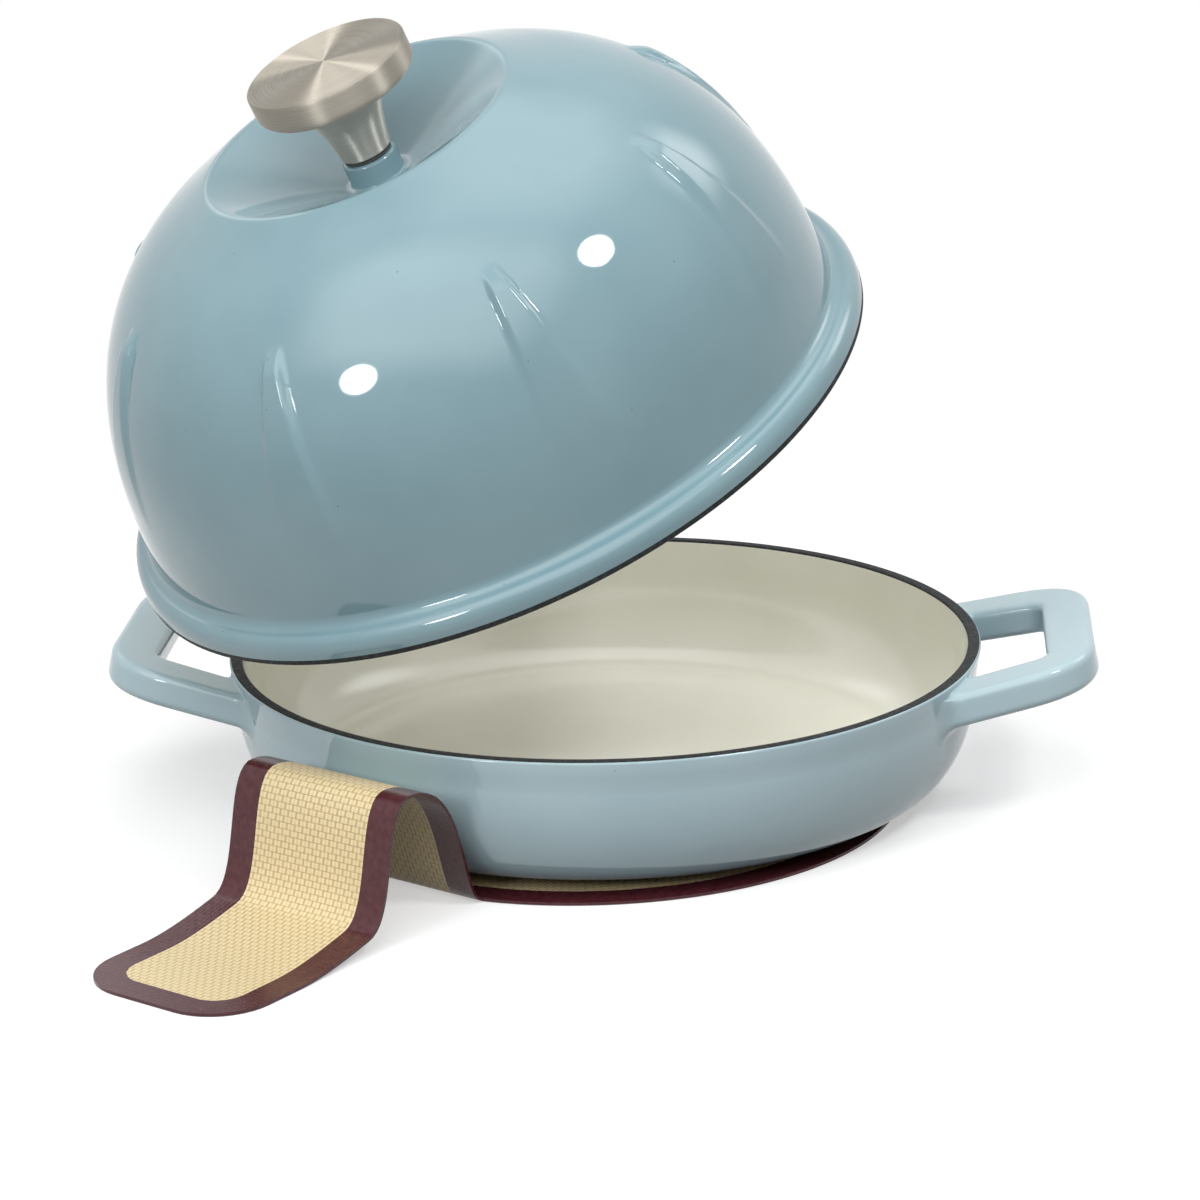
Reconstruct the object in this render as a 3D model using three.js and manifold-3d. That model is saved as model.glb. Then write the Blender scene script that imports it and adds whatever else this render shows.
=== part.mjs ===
// Cast iron bread pot: a shallow enamelled pan with two loop handles, a domed lid
// with a steel knob, and a woven silicone bread sling under the pan.
// Millimetres and degrees, +Z up. The origin is on the table, on the pan's axis, and the
// handles lie along X. The lid stands tipped open, as it does over a loaf.

import * as THREE from 'three';
import { mergeVertices } from 'three/addons/utils/BufferGeometryUtils.js';
import Module from 'manifold-3d';

// Faceting
const POT_STEPS = 48;
const KNOB_STEPS = 30;
const SCREW_STEPS = 24;
const WALL_STEPS = 9;
const CURVE_STEPS = 7;
const ROUND_STEPS = 4;
const EDGE_STEPS = 2;
const DISC_STEPS = 16;
const RIDGE_STEPS = 7;

// Clearances
const REST_GAP = 0.3;
const SLIDE_CLEARANCE = 0.3;

// Bread sling: a disc with a strap on either side, cut from one sheet
const SLING_THICKNESS = 1.0;
const SLING_DISC_DIAMETER = 210;
const SLING_STRAP_WIDTH = 64;
const SLING_LENGTH = 550;
const SLING_CORNER_RADIUS = 20;
const SLING_CENTRE_X = -5;
const SLING_CENTRE_Y = -15;
const SLING_AZIMUTH = 237.4;
const SLING_FOLD_ALLOWANCE = 1;
const SLING_ARCH_CLEARANCE = 8.3;
const SLING_ARCH_RISE = 37.5;
const SLING_ARCH_FALL = 34.2;
const SLING_ARCH_HEIGHT = 45.7;
const SLING_FOOT_CURL = 0.35;
const SLING_CREST_CURL = 0.9;
const SLING_DROP_CURL = 0.3;
const SLING_LANDING_CURL = 0.95;

// Pan
const PAN_RIM_DIAMETER = 254;
const PAN_HEIGHT = 47.3;
const PAN_RIM_WIDTH = 4.4;
const PAN_RIM_ROUND = 0.9;
const PAN_WALL = 4.2;
const PAN_WALL_DRAFT = 1.3;
const PAN_FLARE_HEIGHT = 10;
const PAN_BELLY_WIDTH = 18.4;
const PAN_FLOOR = 5;
const PAN_FOOT_HEIGHT = 1.8;
const PAN_FOOT_INSET = 3.3;
const PAN_INNER_CORNER = 24;

// Loop handles
const HANDLE_REACH = 37.5;
const HANDLE_THICKNESS = 11.2;
const HANDLE_END_WIDTH = 92;
const HANDLE_ROOT_WIDTH = 106;
const HANDLE_OUTER_BAR = 16.5;
const HANDLE_END_SIDE_BAR = 16.5;
const HANDLE_ROOT_SIDE_BAR = 18;
const HANDLE_CORNER = 24;
const HANDLE_WINDOW_CORNER = 4;
const HANDLE_EDGE_ROUND = 2.4;
const HANDLE_BURIED_CORNER = 6;
const HANDLE_TILT = 13;
const HANDLE_ROOT_DROP = 0.8;
const HANDLE_ROOT_DEPTH = 12;

// Domed lid
const LID_OVERHANG = 0.9;
const LID_EDGE_ROUND = 0.9;
const LID_WALL = 4.2;
const LID_DOME_BASE = 2.9;
const LID_DOME_RISE = 113.3;
const LID_DOME_SIDE_POWER = 2.76;
const LID_DOME_TOP_POWER = 2.41;
const LID_CREST_DIAMETER = 97;
const LID_CREST_ROUND = 5;
const LID_DISH_DEPTH = 21;
const LID_DISH_SLOPE = 40;
const LID_DISH_FOOT_ROUND = 4.5;
const LID_BOSS_DIAMETER = 19;
const LID_BOSS_HEIGHT = 13;
const LID_FLANGE_WIDTH = 7.4;
const LID_FLANGE_HEIGHT = 9;
const LID_FLANGE_EDGE = 3.6;
const LID_FLANGE_FILLET = 3.5;
const LID_LIP_DEPTH = 2.4;
const LID_LIP_WIDTH = 4.2;
const LID_LIP_CLEARANCE = 2.5;

// Raised ridges round the dome
const RIDGE_COUNT = 8;
const RIDGE_FIRST_AZIMUTH = -19.9;
const RIDGE_NOSE_SHARE = 0.778;
const RIDGE_TAIL_SHARE = 0.327;
const RIDGE_NOSE_WIDTH = 9;
const RIDGE_TAIL_WIDTH = 17;
const RIDGE_RELIEF = 3.2;
const RIDGE_ROOT_DEPTH = 1.6;
const RIDGE_FLANK = 2.4;

// Lid pose: it tips about an axis that lies beside the pot, square to the tip direction
const LID_TIP_AZIMUTH = 218.1;
const LID_TIP_ANGLE = 25.5;
const LID_PIVOT_OFFSET = 75.1;
const LID_PIVOT_HEIGHT = 2.5;

// Knob and its fixing
const KNOB_CAP_DIAMETER = 53.4;
const KNOB_CAP_THICKNESS = 11.5;
const KNOB_CAP_CROWN = 0.8;
const KNOB_CAP_LOWER_ROUND = 4;
const KNOB_CAP_LOWER_REACH = 5.6;
const KNOB_STEM_HEIGHT = 21.3;
const KNOB_STEM_FOOT_DIAMETER = 16.6;
const KNOB_STEM_TOP_DIAMETER = 30;
const KNOB_STEM_COLLAR_SHARE = 0.18;
const KNOB_STEM_NECK_SHARE = 0.62;
const KNOB_STEM_FLARE_SHARE = 0.4;
const KNOB_STEM_FLARE_DROP_SHARE = 0.12;
const KNOB_INSERT_DIAMETER = 10;
const KNOB_INSERT_LENGTH = 13;
const GASKET_THICKNESS = 0.8;
const SCREW_DIAMETER = 6;
const SCREW_TIP_CLEARANCE = 2;
const SCREW_CHAMFER = 1;
const SCREW_HEAD_DIAMETER = 11.5;
const SCREW_HEAD_HEIGHT = 4;
const SCREW_SLOT_WIDTH = 1.6;
const SCREW_SLOT_LENGTH = 6.4;
const SCREW_SLOT_DEPTH = 2;
const FLAT_WASHER_DIAMETER = 16;
const FLAT_WASHER_THICKNESS = 1.4;
const SPRING_WASHER_DIAMETER = 11;
const SPRING_WASHER_THICKNESS = 1.6;
const SPRING_WASHER_SPLIT = 1.2;

// Colours, roughness and metalness
const ENAMEL_BLUE = { color: '#9db4bb', roughness: 0.18, metalness: 0 };
const STEEL = { color: '#c0beb2', roughness: 0.35, metalness: 1 };
const BRASS = { color: '#b58f4a', roughness: 0.4, metalness: 1 };
const DARK_FIBRE = { color: '#3a3a38', roughness: 0.8, metalness: 0 };
const WOVEN_SILICONE = { color: '#d8c393', roughness: 0.6, metalness: 0 };

// Sizes that follow from the ones above
const DOWN = -90;
const panBottom = 2 * SLING_THICKNESS + SLIDE_CLEARANCE + REST_GAP;
const panRimRadius = PAN_RIM_DIAMETER / 2;
const panRimHeight = panBottom + PAN_HEIGHT;
const panBoreRadius = panRimRadius - PAN_RIM_WIDTH;
const panBellyRadius = panRimRadius - PAN_WALL_DRAFT;
const panBaseRadius = panBellyRadius - PAN_BELLY_WIDTH;
const lidRimRadius = panRimRadius + LID_OVERHANG;
const domeBaseRadius = lidRimRadius - LID_FLANGE_WIDTH;
const lidSeatHeight = panRimHeight + REST_GAP;
const screwHoleDiameter = SCREW_DIAMETER + 2 * REST_GAP;

const wasm = await Module();
wasm.setup();

function solidOf(geometry) {
  const bare = geometry.clone();
  bare.deleteAttribute('normal');
  bare.deleteAttribute('uv');
  const welded = mergeVertices(bare, 1e-4);
  const index = welded.index.array;
  const kept = [];
  for (let i = 0; i < index.length; i += 3) {
    const [a, b, c] = index.subarray(i, i + 3);
    if (a !== b && b !== c && c !== a) {
      kept.push(a, b, c);
    }
  }
  return new wasm.Manifold(new wasm.Mesh({
    numProp: 3,
    vertProperties: new Float32Array(welded.attributes.position.array),
    triVerts: new Uint32Array(kept),
  }));
}

function geometryOf(solid) {
  const mesh = solid.getMesh();
  const geometry = new THREE.BufferGeometry();
  geometry.setAttribute('position', new THREE.Float32BufferAttribute(mesh.vertProperties, 3));
  geometry.setIndex(Array.from(mesh.triVerts));
  geometry.computeVertexNormals();
  return geometry;
}

function radians(degrees) {
  return THREE.MathUtils.degToRad(degrees);
}

// A turned body from a profile of [radius, height] points that goes up its outside
function turned(profile, steps) {
  const points = profile.map(([radius, height]) => new THREE.Vector2(radius, height));
  return new THREE.LatheGeometry(points, steps).rotateX(Math.PI / 2);
}

// Points on an arc of an ellipse in the profile plane
function ellipseArc(centre, radii, fromAngle, toAngle, steps) {
  return Array.from({ length: steps + 1 }, (_, i) => {
    const angle = radians(fromAngle + ((toAngle - fromAngle) * i) / steps);
    return [centre[0] + radii[0] * Math.cos(angle), centre[1] + radii[1] * Math.sin(angle)];
  });
}

function circleArc(centre, radius, fromAngle, toAngle, steps) {
  return ellipseArc(centre, [radius, radius], fromAngle, toAngle, steps);
}

// Points on a smooth curve from one point to another, with a pull towards a handle at each end
function bezierPoints(start, startPull, endPull, end, steps) {
  const curve = new THREE.CubicBezierCurve(
    new THREE.Vector2(...start),
    new THREE.Vector2(...startPull),
    new THREE.Vector2(...endPull),
    new THREE.Vector2(...end),
  );
  return curve.getPoints(steps).map((point) => [point.x, point.y]);
}

// A flat ring, as a turned body with a plain bore
function ring(outerDiameter, boreDiameter, bottom, thickness, steps) {
  const outer = outerDiameter / 2;
  const bore = boreDiameter / 2;
  const top = bottom + thickness;
  return turned([[bore, bottom], [outer, bottom], [outer, top], [bore, top], [bore, bottom]], steps);
}

// A closed body through a row of sections, each a list of as many [x, y, z] corners
function lofted(sections) {
  const corners = sections[0].length;
  const index = [];
  for (let i = 0; i < sections.length - 1; i += 1) {
    for (let side = 0; side < corners; side += 1) {
      const a = i * corners + side;
      const b = i * corners + ((side + 1) % corners);
      index.push(a, b, b + corners, a, b + corners, a + corners);
    }
  }
  const last = (sections.length - 1) * corners;
  for (let side = 1; side < corners - 1; side += 1) {
    index.push(0, side + 1, side);
    index.push(last, last + side, last + side + 1);
  }
  const geometry = new THREE.BufferGeometry();
  geometry.setAttribute('position', new THREE.Float32BufferAttribute(sections.flat(2), 3));
  geometry.setIndex(index);
  geometry.computeVertexNormals();
  return geometry;
}

function namedMesh(name, geometry, finish) {
  const mesh = new THREE.Mesh(geometry, new THREE.MeshStandardMaterial(finish));
  mesh.name = name;
  return mesh;
}

// Adds a closed outline with rounded corners to a path, from [x, y, rounding] corners
function traceRounded(path, corners) {
  const count = corners.length;
  corners.forEach(([x, y, rounding], i) => {
    const corner = new THREE.Vector2(x, y);
    const before = new THREE.Vector2(...corners[(i + count - 1) % count].slice(0, 2));
    const after = new THREE.Vector2(...corners[(i + 1) % count].slice(0, 2));
    const entry = before.sub(corner).setLength(rounding).add(corner);
    const exit = after.sub(corner).setLength(rounding).add(corner);
    if (i === 0) {
      path.moveTo(entry.x, entry.y);
    } else {
      path.lineTo(entry.x, entry.y);
    }
    path.quadraticCurveTo(x, y, exit.x, exit.y);
  });
  path.closePath();
  return path;
}

// Pan

function panOuterProfile() {
  const bellyTop = panRimHeight - PAN_FLARE_HEIGHT;
  const footTop = panBottom + PAN_FOOT_HEIGHT;
  const footRadius = panBaseRadius - PAN_FOOT_INSET;
  const rimCentre = [panRimRadius - PAN_RIM_ROUND, panRimHeight - PAN_RIM_ROUND];
  return [
    [0, panBottom],
    [footRadius, panBottom],
    [footRadius, footTop],
    ...ellipseArc([panBaseRadius, bellyTop], [PAN_BELLY_WIDTH, bellyTop - footTop], DOWN, 0, CURVE_STEPS),
    ...circleArc(rimCentre, PAN_RIM_ROUND, 0, 90, EDGE_STEPS),
    [0, panRimHeight],
  ];
}

function panCavityProfile() {
  const floorHeight = panBottom + PAN_FLOOR;
  const bellyTop = panRimHeight - PAN_FLARE_HEIGHT;
  const cornerCentre = [panBellyRadius - PAN_WALL - PAN_INNER_CORNER, bellyTop];
  const above = panRimHeight + PAN_WALL;
  return [
    [0, floorHeight],
    ...ellipseArc(cornerCentre, [PAN_INNER_CORNER, bellyTop - floorHeight], DOWN, 0, CURVE_STEPS),
    [panBoreRadius, panRimHeight - PAN_RIM_ROUND],
    [panBoreRadius, above],
    [0, above],
  ];
}

// One loop handle along +X: an open loop whose two arms run into the wall
function handleSolid() {
  const end = panRimRadius + HANDLE_REACH;
  const root = panRimRadius - HANDLE_ROOT_DEPTH;
  const windowEnd = end - HANDLE_OUTER_BAR;
  const endHalf = HANDLE_END_WIDTH / 2;
  const rootHalf = HANDLE_ROOT_WIDTH / 2;
  const windowEndHalf = endHalf - HANDLE_END_SIDE_BAR;
  const windowRootHalf = rootHalf - HANDLE_ROOT_SIDE_BAR;
  const outline = traceRounded(new THREE.Shape(), [
    [root, -rootHalf, HANDLE_BURIED_CORNER],
    [end, -endHalf, HANDLE_CORNER],
    [end, endHalf, HANDLE_CORNER],
    [root, rootHalf, HANDLE_BURIED_CORNER],
  ]);
  outline.holes.push(traceRounded(new THREE.Path(), [
    [root + HANDLE_BURIED_CORNER, -windowRootHalf, HANDLE_WINDOW_CORNER],
    [root + HANDLE_BURIED_CORNER, windowRootHalf, HANDLE_WINDOW_CORNER],
    [windowEnd, windowEndHalf, HANDLE_WINDOW_CORNER],
    [windowEnd, -windowEndHalf, HANDLE_WINDOW_CORNER],
  ]));
  const loop = new THREE.ExtrudeGeometry(outline, {
    depth: HANDLE_THICKNESS - 2 * HANDLE_EDGE_ROUND,
    bevelThickness: HANDLE_EDGE_ROUND,
    bevelSize: HANDLE_EDGE_ROUND,
    bevelOffset: -HANDLE_EDGE_ROUND,
    bevelSegments: EDGE_STEPS,
    curveSegments: ROUND_STEPS,
  });
  loop.translate(-panRimRadius, 0, HANDLE_EDGE_ROUND - HANDLE_THICKNESS);
  loop.rotateY(-radians(HANDLE_TILT));
  loop.translate(panRimRadius, 0, panRimHeight - HANDLE_ROOT_DROP);
  return solidOf(loop);
}

function basePan() {
  const handle = handleSolid();
  const body = solidOf(turned(panOuterProfile(), POT_STEPS))
    .add(handle)
    .add(handle.rotate([0, 0, 180]));
  const cavity = solidOf(turned(panCavityProfile(), POT_STEPS));
  return namedMesh('base_pan', geometryOf(body.subtract(cavity)), ENAMEL_BLUE);
}

// Lid: heights are above its seating plane

// Outside radius of the dome's wall at a height
function domeRadius(height) {
  const rise = (height - LID_DOME_BASE) / LID_DOME_RISE;
  const share = 1 - Math.max(rise, 0) ** LID_DOME_TOP_POWER;
  return domeBaseRadius * share ** (1 / LID_DOME_SIDE_POWER);
}

// Height of the dome's wall at a radius
function domeHeight(radius) {
  const share = 1 - (radius / domeBaseRadius) ** LID_DOME_SIDE_POWER;
  return LID_DOME_BASE + LID_DOME_RISE * share ** (1 / LID_DOME_TOP_POWER);
}

const crestRadius = LID_CREST_DIAMETER / 2;
const crestHeight = domeHeight(crestRadius);
const dishFloorHeight = crestHeight - LID_DISH_DEPTH;
const bossTopHeight = dishFloorHeight + LID_BOSS_HEIGHT;
const domeUnderside = dishFloorHeight - LID_WALL;

// The dome's outside from its foot up to the crest and down into the dish
function domeSkin() {
  const footHeight = LID_FLANGE_HEIGHT + LID_FLANGE_FILLET;
  const rollStart = crestRadius + LID_CREST_ROUND;
  const rollEnd = crestRadius - LID_CREST_ROUND;
  const slope = Math.tan(radians(LID_DISH_SLOPE));
  const rollEndHeight = crestHeight - LID_CREST_ROUND * slope;
  const coneFoot = rollEnd - (rollEndHeight - dishFloorHeight) / slope;
  const topAngle = Math.acos(rollStart / domeRadius(footHeight));
  const wall = Array.from({ length: WALL_STEPS + 1 }, (_, i) => {
    const radius = domeRadius(footHeight) * Math.cos((topAngle * i) / WALL_STEPS);
    return [radius, i === 0 ? footHeight : domeHeight(radius)];
  });
  const crest = bezierPoints(
    [rollStart, domeHeight(rollStart)],
    [crestRadius, crestHeight],
    [crestRadius, crestHeight],
    [rollEnd, rollEndHeight],
    ROUND_STEPS,
  );
  const dish = bezierPoints(
    [rollEnd, rollEndHeight],
    [coneFoot, dishFloorHeight],
    [coneFoot, dishFloorHeight],
    [coneFoot - LID_DISH_FOOT_ROUND, dishFloorHeight],
    ROUND_STEPS,
  );
  return [...wall, ...crest.slice(1), ...dish.slice(1)];
}

// The skin moved inward by the wall, square to itself
function offsetInward(points, distance) {
  return points.map(([radius, height], i) => {
    const before = points[Math.max(i - 1, 0)];
    const after = points[Math.min(i + 1, points.length - 1)];
    const run = after[0] - before[0];
    const rise = after[1] - before[1];
    const length = Math.hypot(run, rise);
    return [radius - (rise / length) * distance, height + (run / length) * distance];
  });
}

function lidProfile() {
  const skin = domeSkin();
  const lipOuter = panBoreRadius - LID_LIP_CLEARANCE;
  const lipInner = lipOuter - LID_LIP_WIDTH;
  const [footRadius, footHeight] = skin[0];
  const filletCentre = [footRadius + LID_FLANGE_FILLET, footHeight];
  const flangeTop = [filletCentre[0], LID_FLANGE_HEIGHT];
  const flangeArc = [lidRimRadius - flangeTop[0], LID_FLANGE_HEIGHT - LID_FLANGE_EDGE];
  const hole = screwHoleDiameter / 2;
  const boss = LID_BOSS_DIAMETER / 2;
  return [
    [hole, domeUnderside],
    ...offsetInward(skin, LID_WALL).reverse(),
    [lipInner, LID_FLANGE_HEIGHT],
    [lipInner, -LID_LIP_DEPTH],
    [lipOuter, -LID_LIP_DEPTH],
    [lipOuter, 0],
    [lidRimRadius - LID_EDGE_ROUND, 0],
    [lidRimRadius, LID_EDGE_ROUND],
    ...ellipseArc([flangeTop[0], LID_FLANGE_EDGE], flangeArc, 0, 90, ROUND_STEPS),
    ...circleArc(filletCentre, LID_FLANGE_FILLET, DOWN, 2 * DOWN, ROUND_STEPS).slice(1),
    ...skin.slice(1),
    [boss, dishFloorHeight],
    [boss, bossTopHeight],
    [hole, bossTopHeight],
    [hole, domeUnderside],
  ];
}

// One tapered ridge that runs down the dome in the XZ plane and fades at its tail
function ridgeSolid() {
  const sections = Array.from({ length: RIDGE_STEPS + 1 }, (_, i) => {
    const share = i / RIDGE_STEPS;
    const riseShare = THREE.MathUtils.lerp(RIDGE_NOSE_SHARE, RIDGE_TAIL_SHARE, share);
    const height = LID_DOME_BASE + LID_DOME_RISE * riseShare;
    const radius = domeRadius(height);
    const outward = new THREE.Vector2(1, domeRadius(height - 1) - radius).normalize();
    const relief = i === 0 ? -RIDGE_ROOT_DEPTH / 2 : RIDGE_RELIEF * (1 - share ** 2);
    const width = THREE.MathUtils.lerp(RIDGE_NOSE_WIDTH, RIDGE_TAIL_WIDTH, share);
    const topHalf = width / 2 - RIDGE_FLANK / 2;
    const rootHalf = topHalf + RIDGE_FLANK;
    const corners = [
      [-rootHalf, -RIDGE_ROOT_DEPTH],
      [rootHalf, -RIDGE_ROOT_DEPTH],
      [topHalf, relief],
      [-topHalf, relief],
    ];
    return corners.map(([across, lift]) => [radius + outward.x * lift, across, height + outward.y * lift]);
  });
  return solidOf(lofted(sections));
}

function domeLid() {
  const ridge = ridgeSolid();
  let body = solidOf(turned(lidProfile(), POT_STEPS));
  for (let i = 0; i < RIDGE_COUNT; i += 1) {
    body = body.add(ridge.rotate([0, 0, RIDGE_FIRST_AZIMUTH + (360 / RIDGE_COUNT) * i]));
  }
  return namedMesh('dome_lid', geometryOf(body), ENAMEL_BLUE);
}

// Knob: stacked on the lid's boss, and held by a screw from inside the dome

const gasketBottom = bossTopHeight + REST_GAP;
const stemBottom = gasketBottom + GASKET_THICKNESS + REST_GAP;
const stemTop = stemBottom + KNOB_STEM_HEIGHT;
const insertBoreTop = stemBottom + KNOB_INSERT_LENGTH + REST_GAP;
const insertBoreDiameter = KNOB_INSERT_DIAMETER + 2 * REST_GAP;
const flatWasherBottom = domeUnderside - REST_GAP - FLAT_WASHER_THICKNESS;
const springWasherBottom = flatWasherBottom - REST_GAP - SPRING_WASHER_THICKNESS;
const screwHeadTop = springWasherBottom - REST_GAP;

function knobGasket() {
  const body = ring(KNOB_STEM_FOOT_DIAMETER, screwHoleDiameter, gasketBottom, GASKET_THICKNESS, KNOB_STEPS);
  return namedMesh('knob_gasket', body, DARK_FIBRE);
}

function knobStem() {
  const foot = KNOB_STEM_FOOT_DIAMETER / 2;
  const top = KNOB_STEM_TOP_DIAMETER / 2;
  const bore = insertBoreDiameter / 2;
  const flare = bezierPoints(
    [foot, stemBottom + KNOB_STEM_HEIGHT * KNOB_STEM_COLLAR_SHARE],
    [foot, stemBottom + KNOB_STEM_HEIGHT * KNOB_STEM_NECK_SHARE],
    [foot + (top - foot) * KNOB_STEM_FLARE_SHARE, stemTop - KNOB_STEM_HEIGHT * KNOB_STEM_FLARE_DROP_SHARE],
    [top, stemTop],
    CURVE_STEPS,
  );
  const profile = [
    [bore, stemBottom],
    [foot, stemBottom],
    ...flare,
    [0, stemTop],
    [0, insertBoreTop],
    [bore, insertBoreTop],
    [bore, stemBottom],
  ];
  return namedMesh('knob_stem', turned(profile, KNOB_STEPS), STEEL);
}

function knobCap() {
  const radius = KNOB_CAP_DIAMETER / 2;
  const bottom = stemTop + REST_GAP;
  const edge = bottom + KNOB_CAP_THICKNESS - KNOB_CAP_CROWN;
  const lower = ellipseArc(
    [radius - KNOB_CAP_LOWER_REACH, bottom + KNOB_CAP_LOWER_ROUND],
    [KNOB_CAP_LOWER_REACH, KNOB_CAP_LOWER_ROUND],
    DOWN,
    0,
    ROUND_STEPS,
  );
  const profile = [
    [0, bottom],
    ...lower,
    [radius, edge - KNOB_CAP_CROWN],
    ...ellipseArc([0, edge], [radius - KNOB_CAP_CROWN, KNOB_CAP_CROWN], 0, 90, ROUND_STEPS),
  ];
  return namedMesh('knob_cap', turned(profile, KNOB_STEPS), STEEL);
}

function knobInsert() {
  const body = ring(KNOB_INSERT_DIAMETER, screwHoleDiameter, stemBottom, KNOB_INSERT_LENGTH, SCREW_STEPS);
  return namedMesh('knob_insert', body, BRASS);
}

function flatWasher() {
  const thickness = FLAT_WASHER_THICKNESS;
  const body = ring(FLAT_WASHER_DIAMETER, screwHoleDiameter, flatWasherBottom, thickness, SCREW_STEPS);
  return namedMesh('flat_washer', body, STEEL);
}

function springWasher() {
  const thickness = SPRING_WASHER_THICKNESS;
  const body = ring(SPRING_WASHER_DIAMETER, screwHoleDiameter, springWasherBottom, thickness, SCREW_STEPS);
  const split = new THREE.BoxGeometry(SPRING_WASHER_DIAMETER, SPRING_WASHER_SPLIT, 2 * thickness);
  split.translate(SPRING_WASHER_DIAMETER / 2, 0, springWasherBottom + thickness / 2);
  return namedMesh('spring_washer', geometryOf(solidOf(body).subtract(solidOf(split))), STEEL);
}

function knobScrew() {
  const head = SCREW_HEAD_DIAMETER / 2;
  const shank = SCREW_DIAMETER / 2;
  const headBottom = screwHeadTop - SCREW_HEAD_HEIGHT;
  const tip = stemBottom + KNOB_INSERT_LENGTH - SCREW_TIP_CLEARANCE;
  const body = solidOf(turned([
    [0, headBottom],
    [head - SCREW_CHAMFER, headBottom],
    [head, headBottom + SCREW_CHAMFER],
    [head, screwHeadTop],
    [shank, screwHeadTop],
    [shank, tip - SCREW_CHAMFER],
    [shank - SCREW_CHAMFER, tip],
    [0, tip],
  ], SCREW_STEPS));
  const slot = new THREE.BoxGeometry(SCREW_SLOT_LENGTH, SCREW_SLOT_WIDTH, 2 * SCREW_SLOT_DEPTH);
  slot.translate(0, 0, headBottom);
  const cross = solidOf(slot).add(solidOf(slot.clone().rotateZ(Math.PI / 2)));
  return namedMesh('knob_screw', geometryOf(body.subtract(cross)), STEEL);
}

// Everything that rides with the lid, tipped about the lid's pivot
function lidAssembly() {
  const azimuth = radians(LID_TIP_AZIMUTH);
  const tipDirection = new THREE.Vector3(Math.cos(azimuth), Math.sin(azimuth), 0);
  const pivot = tipDirection.clone().multiplyScalar(lidRimRadius + LID_PIVOT_OFFSET);
  pivot.z = LID_PIVOT_HEIGHT;
  const swing = new THREE.Group();
  swing.position.copy(pivot);
  const axis = new THREE.Vector3(0, 0, 1).cross(tipDirection);
  swing.quaternion.setFromAxisAngle(axis, radians(LID_TIP_ANGLE));
  const seat = new THREE.Group();
  seat.position.set(0, 0, lidSeatHeight).sub(pivot);
  seat.add(
    domeLid(),
    knobGasket(),
    knobStem(),
    knobInsert(),
    knobCap(),
    flatWasher(),
    springWasher(),
    knobScrew(),
  );
  swing.add(seat);
  return swing;
}

// Bread sling: lies under the pan with one strap arched out in front and the other
// folded back over the disc. Its path runs along the straps, as [reach, height] points
// of the sheet's middle, with the length along the sheet measured from the disc's centre.

// Reach along the strap from the disc's centre to the edge of the pan's base
function panEdgeReach() {
  const azimuth = radians(SLING_AZIMUTH);
  const along = SLING_CENTRE_X * Math.cos(azimuth) + SLING_CENTRE_Y * Math.sin(azimuth);
  const aside = SLING_CENTRE_X * Math.sin(azimuth) - SLING_CENTRE_Y * Math.cos(azimuth);
  return Math.sqrt(panBaseRadius ** 2 - aside ** 2) - along;
}

const slingDiscRadius = SLING_DISC_DIAMETER / 2;
const archStart = panEdgeReach() + SLING_ARCH_CLEARANCE;
const archCrestReach = archStart + SLING_ARCH_RISE;

// Half of the sling's width at a length along the sheet
function slingHalfWidth(length) {
  const strap = SLING_STRAP_WIDTH / 2;
  const fromEnd = SLING_LENGTH / 2 - Math.abs(length);
  const intoCorner = Math.max(0, SLING_CORNER_RADIUS - fromEnd);
  const cornerLoss = SLING_CORNER_RADIUS - Math.sqrt(SLING_CORNER_RADIUS ** 2 - intoCorner ** 2);
  const disc = Math.sqrt(Math.max(0, slingDiscRadius ** 2 - length ** 2));
  return Math.max(strap - cornerLoss, disc);
}

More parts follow.
